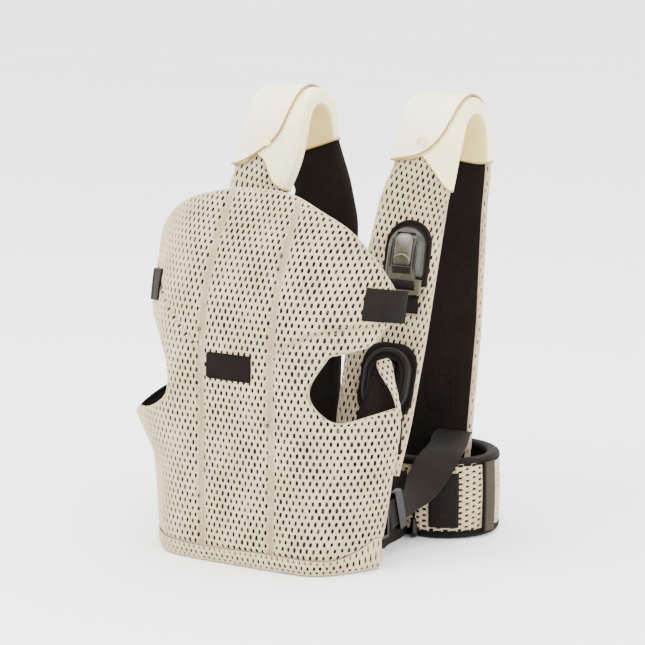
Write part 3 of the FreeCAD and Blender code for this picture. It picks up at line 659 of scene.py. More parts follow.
OUTLINE += side_line(1, height_at(parts[1][-1]), height_at(parts[2][0]))[1:-1] + parts[2]
OUTLINE += side_line(-1, height_at(parts[2][-1]), height_at(parts[3][0]))[1:-1] + parts[3] + parts[4]
OUTLINE += side_line(-1, height_at(parts[4][-1]), PANEL_LOW)[1:]
OUTLINE = np.array(OUTLINE)
gaps = np.linalg.norm(np.roll(OUTLINE, -1, 0) - OUTLINE, axis=1)
OUTLINE = OUTLINE[gaps > 0.05]


def edge_distance(points, outline):
    """Signed distance inside an outline, and the unit direction towards its inside."""
    start, end = outline, np.roll(outline, -1, 0)
    run = end - start
    length = (run ** 2).sum(1)
    distance, way = np.empty(len(points)), np.empty((len(points), 2))
    for low in range(0, len(points), 8000):
        p = points[low:low + 8000]
        share = np.clip(((p[:, None] - start[None]) * run[None]).sum(2) / length[None], 0, 1)
        near = start[None] + share[..., None] * run[None]
        apart = p[:, None] - near
        gap = (apart ** 2).sum(2)
        best = gap.argmin(1)
        pick = np.arange(len(p))
        vector = apart[pick, best]
        size = np.sqrt(gap[pick, best])
        crosses = ((start[None, :, 1] > p[:, None, 1]) != (end[None, :, 1] > p[:, None, 1]))
        with np.errstate(divide="ignore", invalid="ignore"):
            cut = start[None, :, 0] + (p[:, None, 1] - start[None, :, 1]) * run[None, :, 0] / run[None, :, 1]
        inside = (crosses & (p[:, None, 0] < cut)).sum(1) % 2 == 1
        sign = np.where(inside, 1, -1)
        distance[low:low + 8000] = size * sign
        way[low:low + 8000] = vector / (size[:, None] + 1e-9) * sign[:, None]
    return distance, way


ROLL = 4.2
YOKE_START, YOKE_RISE, YOKE_LEVEL = 204.0, 0.72, 31.0


def yoke_line(u):
    """Height and slope of the yoke seam: it levels off over the right leg opening."""
    run = np.maximum(np.abs(u) - SEAM, 0)
    bend = np.tanh(YOKE_RISE * run / YOKE_LEVEL)
    height = np.where(u > 0, YOKE_LEVEL * bend, YOKE_RISE * run)
    slope = np.where(u > 0, YOKE_RISE * (1 - bend ** 2), YOKE_RISE)
    return climb_of(YOKE_START) + height, slope


def hem_line(u):
    """Climb of the hem's fold, which rises at both corners."""
    right, left = np.clip((u - 96) / 44, 0, 1), np.clip((-u - 104) / 40, 0, 1)
    return climb_of(14.0) + 15 * right ** 1.6 + 5 * left ** 1.5 + 0.8 * np.sin(np.asarray(u) / 24.0)


def seam_gap(u, v):
    """Distance to the nearest sewn seam on the panel."""
    upright = np.abs(np.abs(u) - SEAM)
    level, slope = yoke_line(u)
    yoke = np.where(np.abs(u) > SEAM, 1.7 * np.abs(v - level) / np.hypot(1, slope), 99.0)
    hem = np.abs(v - hem_line(u)) * 2.4
    return np.minimum(np.minimum(upright, yoke), hem)


def puff(u, v, distance):
    """How far the padding lifts the panel, and sinks it at its seams."""
    gap = seam_gap(u, v)
    lift = 1.5 * np.clip(gap / 22, 0, 1) ** 0.6 - 2.5 * np.exp(-(gap / 3.2) ** 2)
    edge = np.clip(distance / 16, 0, 1)
    waves = 0.6 * np.sin(u / 23 + v / 41) * np.sin(v / 31 - u / 57)
    above = np.clip((v - hem_line(u) + 1) / 5, 0, 1)
    return (lift + waves) * edge * above - 1.6 * (1 - above)


def roll_over(u, v, depth, outline, radius, base, normal, lift=None):
    """Maps flat cloth so that it rolls over its outline's edge and onto the back."""
    flat = np.stack([u, v], 1)
    distance, way = edge_distance(flat, outline)
    past = np.maximum(radius - distance, 0)
    turn = np.minimum(past / radius, math.pi)
    beyond = np.maximum(past - math.pi * radius, 0)
    inner = flat + way * past[:, None]
    side = (radius - depth) * np.sin(turn) - beyond
    back = radius - (radius - depth) * np.cos(turn)
    moved = inner - way * side[:, None]
    flat_part = past <= 0
    moved[flat_part] = flat[flat_part]
    back[flat_part] = depth[flat_part]
    raised = 0 if lift is None else lift(moved[:, 0], moved[:, 1], distance)
    point = base(moved[:, 0], moved[:, 1])
    return point + normal(moved[:, 0], moved[:, 1]) * (raised - back)[:, None], distance


def panel_space(u, v, depth):
    return roll_over(u, v, depth, OUTLINE, ROLL, panel_base, panel_normal, puff)[0]


PANEL_CELL, PANEL_HOLE = (6.3, 6.4), (3.5, 6.1)
reach = math.pi * ROLL - ROLL + 2.5
centres = brick_centres(-185, 185, -8, 400, PANEL_CELL)
centres[:, 0] += 0.02 * centres[:, 1]


def on_panel(points):
    distance, _ = edge_distance(points, OUTLINE)
    return distance > -0.86 * reach


def panel_open(points):
    gap = seam_gap(points[:, 0], points[:, 1])
    upright = np.abs(np.abs(points[:, 0]) - SEAM)
    fine = 0.9 + 0.16 * np.sin(points[:, 0] / 9.1) * np.sin(points[:, 1] / 13.7)
    return np.where(upright < 3.3, 0, np.clip(0.45 + gap / 9, 0.45, 1) * fine)


def in_seam(points):
    return np.abs(np.abs(points[:, 0]) - SEAM) < 3.6


front = cell_cloth("front_panel_mesh", centres, PANEL_CELL, PANEL_HOLE, panel_open, on_panel, panel_space,
                   "mesh", 11, deep=1.0, seam=in_seam)


def panel_shell(name, near, far, inset, material, step=5.0):
    """A closed thin layer behind the panel's face, inside its outline."""
    us, vs = np.arange(-170, 170.1, step), np.arange(0, 396, step)
    grid = np.stack(np.meshgrid(us, vs), -1).reshape(-1, 2)
    distance, way = edge_distance(grid, OUTLINE)
    snapped = grid + way * np.maximum(inset - distance, 0)[:, None]
    rows, columns = len(vs), len(us)
    inside = distance > inset
    used_faces = []
    for face in grid_faces(rows, columns):
        if sum(inside[v] for v in face) >= 2 and all(distance[v] > inset - step for v in face):
            used_faces.append(face)
    used = sorted({v for face in used_faces for v in face})
    number = {v: k for k, v in enumerate(used)}
    base = panel_base(snapped[used, 0], snapped[used, 1])
    normal = panel_normal(snapped[used, 0], snapped[used, 1])
    raised = puff(snapped[used, 0], snapped[used, 1], distance[used])[:, None] * 0.6
    front_layer, back_layer = base + normal * (raised - near), base + normal * (raised - far)
    total = len(used)
    faces = [[number[v] for v in face] for face in used_faces]
    faces += [[total + number[v] for v in reversed(face)] for face in used_faces]
    edges = {}
    for face in used_faces:
        for a, b in zip(face, face[1:] + face[:1]):
            if (b, a) in edges:
                del edges[(b, a)]
            else:
                edges[(a, b)] = True
    faces += [[number[b], number[a], total + number[a], total + number[b]] for a, b in edges]
    uv = np.concatenate([snapped[used], snapped[used]])
    return add_piece(name, np.concatenate([front_layer, back_layer]), faces, material, uv)


HINGE_LOW, HINGE_HIGH = (0, -0.1388, 0.200), (0, -0.1388, 0.214)


def hang_on_both(obj, slot, *nodes):
    """The piece spans the pouch and the head support across the fold; it hides both CAD nodes and keeps its place in
    the world.
    """
    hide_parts(*nodes)
    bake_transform(obj)
    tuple(HINGE_LOW)
    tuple(HINGE_HIGH)
    return obj


hang_on_both(front, "air_mesh", "pouch_mesh", "head_mesh")
backing = panel_shell("front_panel_padding", 2.6, 5.4, 3.2, "backing")
hang_on_both(backing, "foam", "pouch_padding", "head_padding")
inside = panel_shell("front_panel_lining", 7.4, 9.0, 2.4, "lining")
hang_on_both(inside, "lining", "pouch_lining", "head_lining")

# Tape that closes the mesh's turned edge on the panel's back.
def resampled(outline, pitch):
    closed = np.concatenate([outline, outline[:1]])
    known = np.concatenate([[0], np.cumsum(np.linalg.norm(np.diff(closed, axis=0), axis=1))])
    even = np.linspace(0, known[-1], int(known[-1] / pitch), endpoint=False)
    return np.stack([np.interp(even, known, closed[:, k]) for k in (0, 1)], 1)


def ring_mean(values, reach_n):
    return sum(np.roll(values, k, 0) for k in range(-reach_n, reach_n + 1)) / (2 * reach_n + 1)


tape_line = ring_mean(resampled(OUTLINE, 2.2), 1)
ahead = np.roll(tape_line, -1, 0) - np.roll(tape_line, 1, 0)
inward = np.stack([-ahead[:, 1], ahead[:, 0]], 1)
area = (tape_line[:, 0] * np.roll(tape_line[:, 1], -1) - np.roll(tape_line[:, 0], -1) * tape_line[:, 1]).sum()
inward = ring_mean(inward / np.linalg.norm(inward, axis=1)[:, None] * math.copysign(1, area), 3)
tape_section = [(ROLL - (ROLL + 0.6) * math.sin(a), ROLL - (ROLL + 0.6) * math.cos(a)) for a in np.linspace(1.75, math.pi, 8)]
tape_section += [(6.2, 2 * ROLL + 1.3), (7.8, 2 * ROLL + 1.2), (8.2, 2 * ROLL + 0.2), (6.4, 2 * ROLL - 0.2)]
tape_section += [(ROLL - (ROLL - 0.3) * math.sin(a), ROLL - (ROLL - 0.3) * math.cos(a)) for a in np.linspace(math.pi, 1.75, 8)]
rings = []
for point, way in zip(tape_line, inward):
    flat = np.array([point + way * inset for inset, _ in tape_section])
    depth = np.array([level for _, level in tape_section])
    rings.append(panel_base(flat[:, 0], flat[:, 1]) - panel_normal(flat[:, 0], flat[:, 1]) * depth[:, None])
tape = hang_on_both(sweep("front_panel_edge_tape", rings, "seam", True), "air_mesh")

# Stitch rows along the panel's seams.
rows = []
for side in (-1, 1):
    for offset in (-2.6, 2.6):
        v = np.arange(climb_of(17), climb_of(345), 1.5)
        u = np.full(len(v), side * SEAM + offset)
        d, _ = edge_distance(np.stack([u, v], 1), OUTLINE)
        u, v, d = u[d > 4], v[d > 4], d[d > 4]
        n = panel_normal(u, v)
        rows.append(stitches("row", panel_base(u, v) + n * (puff(u, v, d)[:, None] + 0.25), n, "thread"))
    for offset in (-2.4, 2.4):
        u = side * np.arange(SEAM + 3, 150, 1.5)
        level, slope = yoke_line(u)
        v = level + offset * np.hypot(1, slope)
        d, _ = edge_distance(np.stack([u, v], 1), OUTLINE)
        u, v, d = u[d > 4], v[d > 4], d[d > 4]
        n = panel_normal(u, v)
        rows.append(stitches("row", panel_base(u, v) + n * (puff(u, v, d)[:, None] + 0.25), n, "thread"))
seam_thread = merge("panel_seam_stitches", rows)
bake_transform(seam_thread)
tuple(HINGE_LOW)
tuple(HINGE_HIGH)

# Hem ----------------------------------------------------------------------------------------------
HEM_FOLD, HEM_CELL = 3.3, (5.8, 5.0)
hem_ends = float(side_end(8.0, 1))


def hem_space(u, w, depth):
    """w runs down the hem's front from its fold line, round under it and up its back."""
    top = height_of(hem_line(u))
    face = 10.4
    down = np.clip(w / face, -0.3, 1)
    turn = np.clip((w - face) / HEM_FOLD, 0, math.pi)
    up = np.maximum(w - face - math.pi * HEM_FOLD, 0)
    low = 0.7 + HEM_FOLD
    z = top + (low - top) * down - (HEM_FOLD - depth) * np.sin(turn) + up
    swell = 0.9 * np.clip(1 - ((w - 5.5) / 6.5) ** 2, 0, 1) + 0.45 * np.sin(u / 5.3) * np.sin(u / 13.1 + w / 5)
    out = 1.5 - HEM_FOLD + (HEM_FOLD - depth) * np.cos(turn) + swell
    vs = climb_of(np.maximum(z, 0.0))
    normal = panel_normal(u, vs)
    base = panel_base(u, vs)
    base[..., 2] = z
    return base + normal * out[..., None] * np.array([1, 1, 0])


hem_cells = brick_centres(-hem_ends - 1, hem_ends + 1, 1.2, 33, HEM_CELL)
hem = cell_cloth("pouch_hem_band", hem_cells, HEM_CELL, (3.0, 4.7),
                 lambda p: np.clip(0.6 + p[:, 1] / 12, 0.6, 0.95), lambda p: np.abs(p[:, 0]) < hem_ends + 0.5,
                 hem_space, "mesh", 17, deep=1.4)
settle(hem, "carrier", "air_mesh", "pouch_hem")
core_rings = []
for u in np.linspace(-hem_ends + 0.5, hem_ends - 0.5, 110):
    us = np.full(12, u)
    turn = np.linspace(0, TAU, 12, endpoint=False)
    top = float(height_of(hem_line(us[:1]))[0])
    half_up = (top - 2.2) / 2
    base = panel_base(us, climb_of(np.full(12, 8.0)))
    normal = panel_normal(us, climb_of(np.full(12, 8.0))) * np.array([1, 1, 0])
    ring = base + normal * (-2.6 + 1.4 * np.cos(turn))[:, None]
    ring[:, 2] = 2.2 + half_up + half_up * np.sin(turn)
    core_rings.append(ring)
hem_core = settle(sweep("pouch_hem_core", core_rings, "backing"), "carrier", "foam")
us = np.arange(-hem_ends + 4, hem_ends - 4, 1.5)
for_row = panel_normal(us, hem_line(us) + 1.4)
hem_row = stitches("hem_stitches", panel_base(us, hem_line(us) + 1.4) + for_row * -0.6, for_row, "thread", 3.4, 2.3)
settle(hem_row, "carrier", "air_mesh")

# Label ---------------------------------------------------------------------------------------------
LABEL_LOW, LABEL_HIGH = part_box("front_label")
lx0, lx1 = LABEL_LOW.x / MM, LABEL_HIGH.x / MM
lz0, lz1 = LABEL_LOW.z / MM + 3, LABEL_HIGH.z / MM + 3
columns, rows_n = 40, 22
points, uv = [], []
for layer in (0, 1):
    for j in range(rows_n + 1):
        for i in range(columns + 1):
            a, b = i / columns, j / rows_n
            corner = math.hypot(max(abs(a - 0.5) * 50 - 22, 0), max(abs(b - 0.5) * 25 - 9.5, 0))
            pull = 1 - 0.045 * max(corner - 3, 0)
            x = (lx0 + lx1) / 2 + (a - 0.5) * (lx1 - lx0) * pull
            z = (lz0 + lz1) / 2 + (b - 0.5) * (lz1 - lz0) * pull
            rim = min(a * 50, (1 - a) * 50, b * 25, (1 - b) * 25)
            bulge = 0.5 * min(rim / 2.5, 1) ** 0.5 + 0.25 * math.sin(x / 4.1) * math.sin(z / 6)
            rest = panel_base(np.array([x]), climb_of(np.array([z])))[0]
            raised = float(puff(np.array([x]), climb_of(np.array([z])), np.array([40.0]))[0])
            points.append((x, rest[1] - raised - (0.35 if layer else 0.75 + bulge), z))
            uv.append((x, z))
label_faces = grid_faces(rows_n + 1, columns + 1)
label_back = grid_faces(rows_n + 1, columns + 1, start=(rows_n + 1) * (columns + 1), flip=True)
rim_index = list(range(columns + 1)) + [r * (columns + 1) + columns for r in range(1, rows_n + 1)]
rim_index += [rows_n * (columns + 1) + c for c in range(columns - 1, -1, -1)]
rim_index += [r * (columns + 1) for r in range(rows_n - 1, 0, -1)]
shift = (rows_n + 1) * (columns + 1)
sides = [[b, a, shift + a, shift + b] for a, b in zip(rim_index, rim_index[1:] + rim_index[:1])]
label = settle(add_piece("front_label_cloth", points, label_faces + label_back + sides, "label", uv),
               "carrier", "label", "front_label")
top = [(x, FRONT - 3.1, z) for x, z in [(lx0 + 2 + k * 1.0, lz1 - 2.0) for k in range(47)]]
low = [(x, FRONT - 3.1, z) for x, z in [(lx0 + 2 + k * 1.0, lz0 + 2.0) for k in range(47)]]
settle(merge("label_stitches", [stitches("row", line, (0, -1, 0), "black_thread", 2.6, 1.9, 0.25)
                                for line in (top, low)]), "carrier", "label")

# Straps --------------------------------------------------------------------------------------------
BACK_Y, BEND, TOP_Z = 120.9, 28.0, 391.0
front_leg = [(77, -23.5, 69.8, 32), (74, -9, 118, 40), (74.5, 16, 200, 42.5)]
crest = [(BACK_Y - BEND + BEND * math.cos(math.radians(a)), TOP_Z + BEND * math.sin(math.radians(a)), 31)
         for a in range(172, -1, -15)]
STRAP_POINTS = {
    "right": front_leg + [(84, 52, 331, 36), (90, 58, 354, 32.5)] + [(96, *p) for p in crest]
    + [(94, BACK_Y, 363, 36), (83, BACK_Y, 306, 42), (80, BACK_Y, 200, 41), (76, BACK_Y - 4, 56, 35)],
    "left": [(-x, y, z, half) for x, y, z, half in front_leg] + [(-94, 52, 331, 32.5), (-86, 58, 354, 32)]
    + [(-78, *p) for p in crest]
    + [(-79, BACK_Y, 368, 34.5), (-60, BACK_Y, 325, 31), (-60, BACK_Y, 291, 40), (-66, BACK_Y, 248, 42),
       (-80, BACK_Y, 190, 41), (-76, BACK_Y - 4, 56, 35)],
}
STRAP_ROLL, STRAP_FACE = 6.4, 7.4
STRAP_CELL, STRAP_HOLE = (6.3, 6.6), (3.3, 6.1)
straps = {}
for side, points in STRAP_POINTS.items():
    route = Route(points)
    straps[side] = route

    def strap_space(s, t, depth, route=route):
        half = route.width(t) - STRAP_ROLL
        over = np.maximum(np.abs(s) - half, 0)
        turn = np.minimum(over / STRAP_ROLL, math.pi)
        beyond = np.maximum(over - math.pi * STRAP_ROLL, 0)
        across = np.minimum(np.abs(s), half) + (STRAP_ROLL - depth) * np.sin(turn) - beyond
        level = STRAP_FACE - STRAP_ROLL + (STRAP_ROLL - depth) * np.cos(turn)
        puffed = 0.5 * np.clip(1 - (np.abs(s) / half) ** 2, 0, 1) + 0.3 * np.sin(t / 17 + s / 30)
        return route.at(t, np.sign(s) * across, level + puffed)

    def strap_wanted(points, route=route, side=side):
        s, t = points[:, 0], points[:, 1]
        half = route.width(t) - STRAP_ROLL
        inner = s > 0 if side == "left" else s > 1e9
        limit = np.where(inner, 7.0, 0.86 * math.pi * STRAP_ROLL)
        covered = route.height(t) > 380
        return (np.abs(s) < half + limit) & ~covered & (t > 3) & (t < route.length - 3)

    cells = brick_centres(-70, 70, 1, route.length, STRAP_CELL)
    strap = cell_cloth(f"strap_mesh_cloth_{side}", cells, STRAP_CELL, STRAP_HOLE,
                       lambda p: 0.9 + 0.15 * np.sin(p[:, 0] / 7) * np.sin(p[:, 1] / 11), strap_wanted,
                       strap_space, "mesh", 21 if side == "right" else 22, deep=1.2)
    settle(strap, "carrier", "air_mesh", f"strap_mesh_{side}")
    core = ribbon(f"strap_padding_core_{side}", route, -3.8, 4.6, "backing", scale=0.93, start=3,
                  end=route.length - 3)
    settle(core, "carrier", "foam", f"strap_padding_{side}")
    rings = []
    for t in np.linspace(2, route.length - 2, 240):
        half = float(route.width(t))
        profile = band_profile(half - 2.4, -6.9, -5.6)
        crown = -0.8 * (1 - (profile[:, 0] / half) ** 2)
        crown += 0.35 * math.sin(t / 13.0) * np.clip((half - 9 - np.abs(profile[:, 0])) / 5, 0, 1)
        crown += 1.2 * np.clip((np.abs(profile[:, 0]) - half + 8) / 6.4, 0, 1) ** 2
        rings.append(route.at(np.full(len(profile), t), profile[:, 0], profile[:, 1] + crown))
    lining = settle(sweep(f"strap_lining_cloth_{side}", rings, "lining"), "carrier", "lining",
                    f"strap_lining_{side}")
    for way in (-1, 1) if side == "right" else (-1,):
        rings = []
        for t in np.linspace(4, route.length - 4, 240):
            half = float(route.width(t)) - STRAP_ROLL
            outer = [(half + (STRAP_ROLL + 0.5) * math.sin(a), STRAP_FACE - STRAP_ROLL + (STRAP_ROLL + 0.5) * math.cos(a))
                     for a in np.linspace(2.3, 3.3, 8)]
            inner = [(half + (STRAP_ROLL - 0.4) * math.sin(a), STRAP_FACE - STRAP_ROLL + (STRAP_ROLL - 0.4) * math.cos(a))
                     for a in np.linspace(3.3, 2.3, 8)]
            profile = np.array(outer + inner)
            rings.append(route.at(np.full(len(profile), t), way * profile[:, 0], profile[:, 1]))
        hem_tape = settle(sweep(f"strap_edge_tape_{side}_{'low' if way < 0 else 'high'}", rings, "seam"), "carrier", "air_mesh")
    if side == "left":
        edge = []
        for t in np.linspace(6, route.length - 6, 220):
            half = float(route.width(t))
            turn = np.linspace(0.9, 3.3, 10)
            outer = [(half - STRAP_ROLL + (STRAP_ROLL + 0.6) * math.sin(a),
                      STRAP_FACE - STRAP_ROLL + (STRAP_ROLL + 0.6) * math.cos(a)) for a in turn]
            inner = [(half - STRAP_ROLL + (STRAP_ROLL - 0.8) * math.sin(a),
                      STRAP_FACE - STRAP_ROLL + (STRAP_ROLL - 0.8) * math.cos(a)) for a in turn[::-1]]
            profile = np.array(outer + inner)
            edge.append(route.at(np.full(len(profile), t), profile[:, 0], profile[:, 1]))
        edge = settle(sweep("strap_edge_binding_left", edge, "lining"), "carrier", "lining")

# Shoulder covers ------------------------------------------------------------------------------------


def cover_ring(half, out_level, in_level, count=72):
    """Points round a strap, from the middle of its face towards +X: (across, out)."""
    found = []
    for t in np.linspace(0, TAU, count, endpoint=False):
        a, b = math.sin(t), math.cos(t)
        across = half * math.copysign(abs(a) ** 0.42, a)
        out = (out_level if b > 0 else -in_level) * math.copysign(abs(b) ** 0.42, b)
        found.append((across, out))
    return np.array(found)


# Lower edge of the cover: (across, height) on the face, from the left to the right edge.
COVER_EDGES = {
    "right": {"front": [(-36, 360.5), (-14, 366), (0, 371), (12, 364), (26, 355), (38, 348)], "back": 364,
              "flap": [(-37, 359), (-24, 364), (-4, 372), (9, 383), (20, 398), (26, 413), (24, 432)],
              "flare": 0},
    "left": {"front": [(-36, 340.5), (-22, 346), (-10, 361), (6, 352), (20, 341), (38, 333)], "back": 362,
             "flap": [(-37, 339.5), (-24, 345), (-10, 360), (6, 378), (14, 396), (19, 414), (17, 432)],
             "flare": 3},
}


def t_at_height(route, z, front=True):
    """Distance along the route where it passes a height on its front or back leg."""
    heights = route.place[:, 2]
    top = heights.argmax()
    if front:
        return np.interp(z, heights[:top + 1], route.t[:top + 1])
    return np.interp(-z, -heights[top:], route.t[top:])


for side, facts in COVER_EDGES.items():
    route = straps[side]
    crest_t = route.t[route.place[:, 2].argmax()]
    front_line = catmull(facts["front"], 6)
    count = 96
    outer, inner = [], []
    t_low = np.empty(count)
    angles = np.linspace(0, TAU, count, endpoint=False)
    for k, angle in enumerate(angles):
        across = 38 * math.copysign(abs(math.sin(angle)) ** 0.42, math.sin(angle))
        edge = np.interp(across, front_line[:, 0], front_line[:, 1])
        if math.cos(angle) < 0:
            edge += 6 * (1 - (across / 38) ** 2)
        t_low[k] = t_at_height(route, edge)
    t_high = np.array([t_at_height(route, facts["back"] + 8 * (math.sin(a) * 0.5) ** 2
                                   + (0 if math.cos(a) > 0 else 0), False) for a in angles])
    steps = 110
    for r in range(steps + 1):
        share = r / steps
        row_out, row_in = [], []
        t = t_low + (t_high - t_low) * share
        for k, angle in enumerate(angles):
            near_low = t[k] - t_low[k]
            flare = facts["flare"] * math.exp(-((t[k] - t_at_height(route, 372)) / 26) ** 2)
            grow = flare * max(math.sin(angle), 0)
            half = float(route.width(t[k])) + 0.8
            tuck = 0.0
            if math.cos(angle) > -0.2 and near_low < 62:
                tuck = 0.6 * (0.5 + 0.5 * math.sin(TAU * near_low / 3.3)) * min(1, near_low / 6)
            wave = 0.9 * noise.noise(Vector((k * 0.09 if k < 48 else (96 - k) * 0.09, t[k] * 0.025, 3.1)))
            a, b = math.sin(angle), math.cos(angle)
            for row, thick in ((row_out, 0.0), (row_in, 1.7)):
                across = (half + grow - thick + wave) * math.copysign(abs(a) ** 0.42, a)
                level = (10.3 - thick + wave + tuck if b > 0 else 10.0 - thick)
                row.append((t[k], across, level * math.copysign(abs(b) ** 0.42, b)))
        outer.append(row_out)
        inner.append(row_in)
    outer, inner = np.array(outer), np.array(inner)
    pack = np.concatenate([outer, inner[::-1]], 0)
    flat = pack.reshape(-1, 3)
    verts = route.at(flat[:, 0], flat[:, 1], flat[:, 2])
    faces = grid_faces(len(pack), count, wrap_rows=True, wrap_columns=True)
    uv = np.stack([np.tile(190 * np.minimum(np.arange(count), count - np.arange(count)) / count, len(pack)),
                   flat[:, 0]], 1)
    # The inner layer's faces, and outer faces turned to the strap's underside (cos below -0.25), take the darker yellow
    # cotton: the inside face, and painted shade on the in-facing side.
    index = [0 if face[0] // count < steps + 1 and math.cos(angles[face[0] % count]) > -0.25 else 1 for face in faces]
    cover = add_piece(f"shoulder_cover_cloth_{side}", verts, faces, ["quilted", "cotton_inside_and_shade"], uv,
                      face_mats=index)
    settle(cover, "carrier", "cover_cotton", f"shoulder_cover_{side}", f"cover_lining_{side}")
    for name, row in (("low", outer[0]), ("high", outer[-1])):
        line = route.at(row[:, 0], row[:, 1] * 0.99, row[:, 2] * 0.93)
        piping = settle(tube(f"cover_piping_{name}_{side}", line, 1.0, "piping", closed=True), "carrier",
                        "cover_cotton")
    # Flap folded over the face, with piping on its edge.
    flap_line = catmull(facts["flap"], 8)
    columns = 40
    rows_found = []
    heights = np.linspace(facts["flap"][0][1] + 1.0, TOP_Z + BEND - 1, 60)
    ts = [float(t_at_height(route, z)) for z in heights] + list(crest_t + np.linspace(1, 40, 14))
    zs = list(heights) + [TOP_Z + BEND + 8] * 14
    for t, z in zip(ts, zs):
        edge = float(np.interp(z, flap_line[:, 1], flap_line[:, 0]))
        half = float(route.width(t)) + 3.2
        row = []
        for s in np.linspace(0, 1, columns):
            x = -half + s * (edge + half)
            over = min(1.0, abs(x) / half)
            drop = (1 - over ** 5) ** 0.2 if over < 1 else 0.0
            curl = 1.2 * s ** 6
            wave = 0.5 * noise.noise(Vector((x * 0.06, t * 0.03, 7.7)))
            row.append((t, x, 12.0 * drop + curl + wave))
        rows_found.append(row)
    top_layer = np.array(rows_found)
    low_layer = top_layer.copy()
    low_layer[..., 2] -= 1.5
    pack = np.concatenate([top_layer, low_layer[:, ::-1]], 1)
    flat = pack.reshape(-1, 3)
    verts = route.at(flat[:, 0], flat[:, 1], flat[:, 2])
    faces = grid_faces(pack.shape[0], pack.shape[1], wrap_columns=True)
    faces.append(list(range(pack.shape[1]))[::-1])
    faces.append([(pack.shape[0] - 1) * pack.shape[1] + k for k in range(pack.shape[1])])
    uv = np.stack([flat[:, 1], flat[:, 0]], 1)
    flap = settle(add_piece(f"cover_flap_{side}", verts, faces, "cotton", uv), "carrier", "cover_cotton")
    line = route.at(top_layer[:, -1, 0], top_layer[:, -1, 1] + 0.4, top_layer[:, -1, 2] - 0.7)
    edge = settle(tube(f"cover_flap_piping_{side}", line, 1.05, "piping"), "carrier", "cover_cotton")

# Press studs
def revolve(name, frame_of, profile, material, sides=40):
    """A turned piece: (radius, height) pairs round the frame's z axis."""
    points = []
    for radius, height in profile:
        for turn in np.linspace(0, TAU, sides, endpoint=False):
            points.append(frame_of(radius * math.cos(turn), radius * math.sin(turn), height))
    faces = grid_faces(len(profile), sides, wrap_columns=True)
    faces.append(list(range(sides))[::-1])
    faces.append([(len(profile) - 1) * sides + k for k in range(sides)])
    uv = [(p[0], p[2]) for p in points]
    return add_piece(name, points, faces, material, uv)


def face_frame(x, low, high, height, out=7.6):
    """Maps (across, up the strap, out of it) to points on a straight run of a front leg."""
    y = low[0] + (high[0] - low[0]) * (height - low[1]) / (high[1] - low[1])
    climb = math.atan2(high[1] - low[1], high[0] - low[0])
    up = np.array([0, math.cos(climb), math.sin(climb)])
    normal = np.array([0, -math.sin(climb), math.cos(climb)])
    base = np.array([x, y, height]) + normal * out

    def place(a, b, c):
        return base + np.array([a, 0, 0]) + up * b + normal * c
    return place


def on_cover(route, x, z, out):
    """Maps (across, up, out) to points on a cover's face."""
    t = float(t_at_height(route, z))
    across = x - float(route.at(t, 0, 0)[0])
    base = route.at(t, across, out)
    normal = route.at(t, across, out + 1) - base
    up = np.cross(normal, (1, 0, 0))

    def place(a, b, c):
        return base + np.array([a, 0, 0]) + up * b + normal * c
    return place


studs = []
for side, x, z in (("right", 92, 384), ("left", -83, 375)):
    place = on_cover(straps[side], x, z, 12.9)
    studs.append(revolve("stud", place, [(0.2, -1.2), (5.4, -1.2), (5.7, 0.0), (5.5, 0.9), (4.9, 1.3), (4.2, 1.1),
                                         (3.7, 0.5), (3.0, 0.35), (1.8, 0.75), (0.6, 0.9), (0.1, 0.92)], "stud"))
settle(merge("cover_press_studs", studs), "carrier", "stud", "cover_studs")

# Moulded and sewn plates ------------------------------------------------------------------------------


def plate_outline(width, length, top_radius, bottom_radius, per=10):
    half, high = width / 2, length / 2
    corners = [((half - bottom_radius, -high + bottom_radius), bottom_radius, -90),
               ((half - top_radius, high - top_radius), top_radius, 0),
               ((-half + top_radius, high - top_radius), top_radius, 90),
               ((-half + bottom_radius, -high + bottom_radius), bottom_radius, 180)]
    found = []
    for (cx, cy), radius, start in corners:
        for angle in np.linspace(start, start + 90, per):
            turn = math.radians(angle)
            found.append((cx + radius * math.cos(turn), cy + radius * math.sin(turn)))
    points = np.array(found)
    closed = np.concatenate([points, points[:1]])
    known = np.concatenate([[0], np.cumsum(np.linalg.norm(np.diff(closed, axis=0), axis=1))])
    even = np.linspace(0, known[-1], 120, endpoint=False)
    return np.stack([np.interp(even, known, closed[:, k]) for k in (0, 1)], 1)


def relief_plate(name, place, outline, base, height, material, centre=(0, 0), rings=26):
    """A plate over a convex outline, whose top follows height(share, x, y)."""
    centre = np.array(centre, float)
    points, uv = [], []
    shares = [1.0, 1.0] + list(np.linspace(1, 0.0, rings)[:-1])
    for number, share in enumerate(shares):
        for x, y in centre + (outline - centre) * share:
            level = base if number == 0 else height(share, x, y)
            if number == 1:
                level = base + (height(1.0, x, y) - base) * 0.5
            points.append(place(x, y, level))
            uv.append((x, y))
    around = len(outline)
    faces = grid_faces(len(shares), around, wrap_columns=True)
    points.append(place(*centre, height(0.0, *centre)))
    uv.append(tuple(centre))
    last = (len(shares) - 1) * around
    faces += [[last + k, last + (k + 1) % around, len(points) - 1] for k in range(around)]
    faces.append(list(range(around))[::-1])
    return add_piece(name, points, faces, material, uv)


def step_up(value, low, high):
    share = min(max((value - low) / (high - low), 0.0), 1.0)
    return share * share * (3 - 2 * share)


def round_edge(share, width=0.1):
    """0 at the rim of a plate, rising to 1 like a rounded edge."""
    inset = min((1 - share) / width, 1.0)
    return math.sqrt(max(0.0, 1 - (1 - inset) ** 2))


def bevel_node(node, width, segments=3):
    """Rounds a moulded CAD node's edges."""
    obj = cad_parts[node]
    modifier = obj.modifiers.new("edges", "BEVEL")
    modifier.width, modifier.segments = width * MM, segments
    modifier.limit_method, modifier.angle_limit = "ANGLE", math.radians(35)
    modifier.harden_normals = False


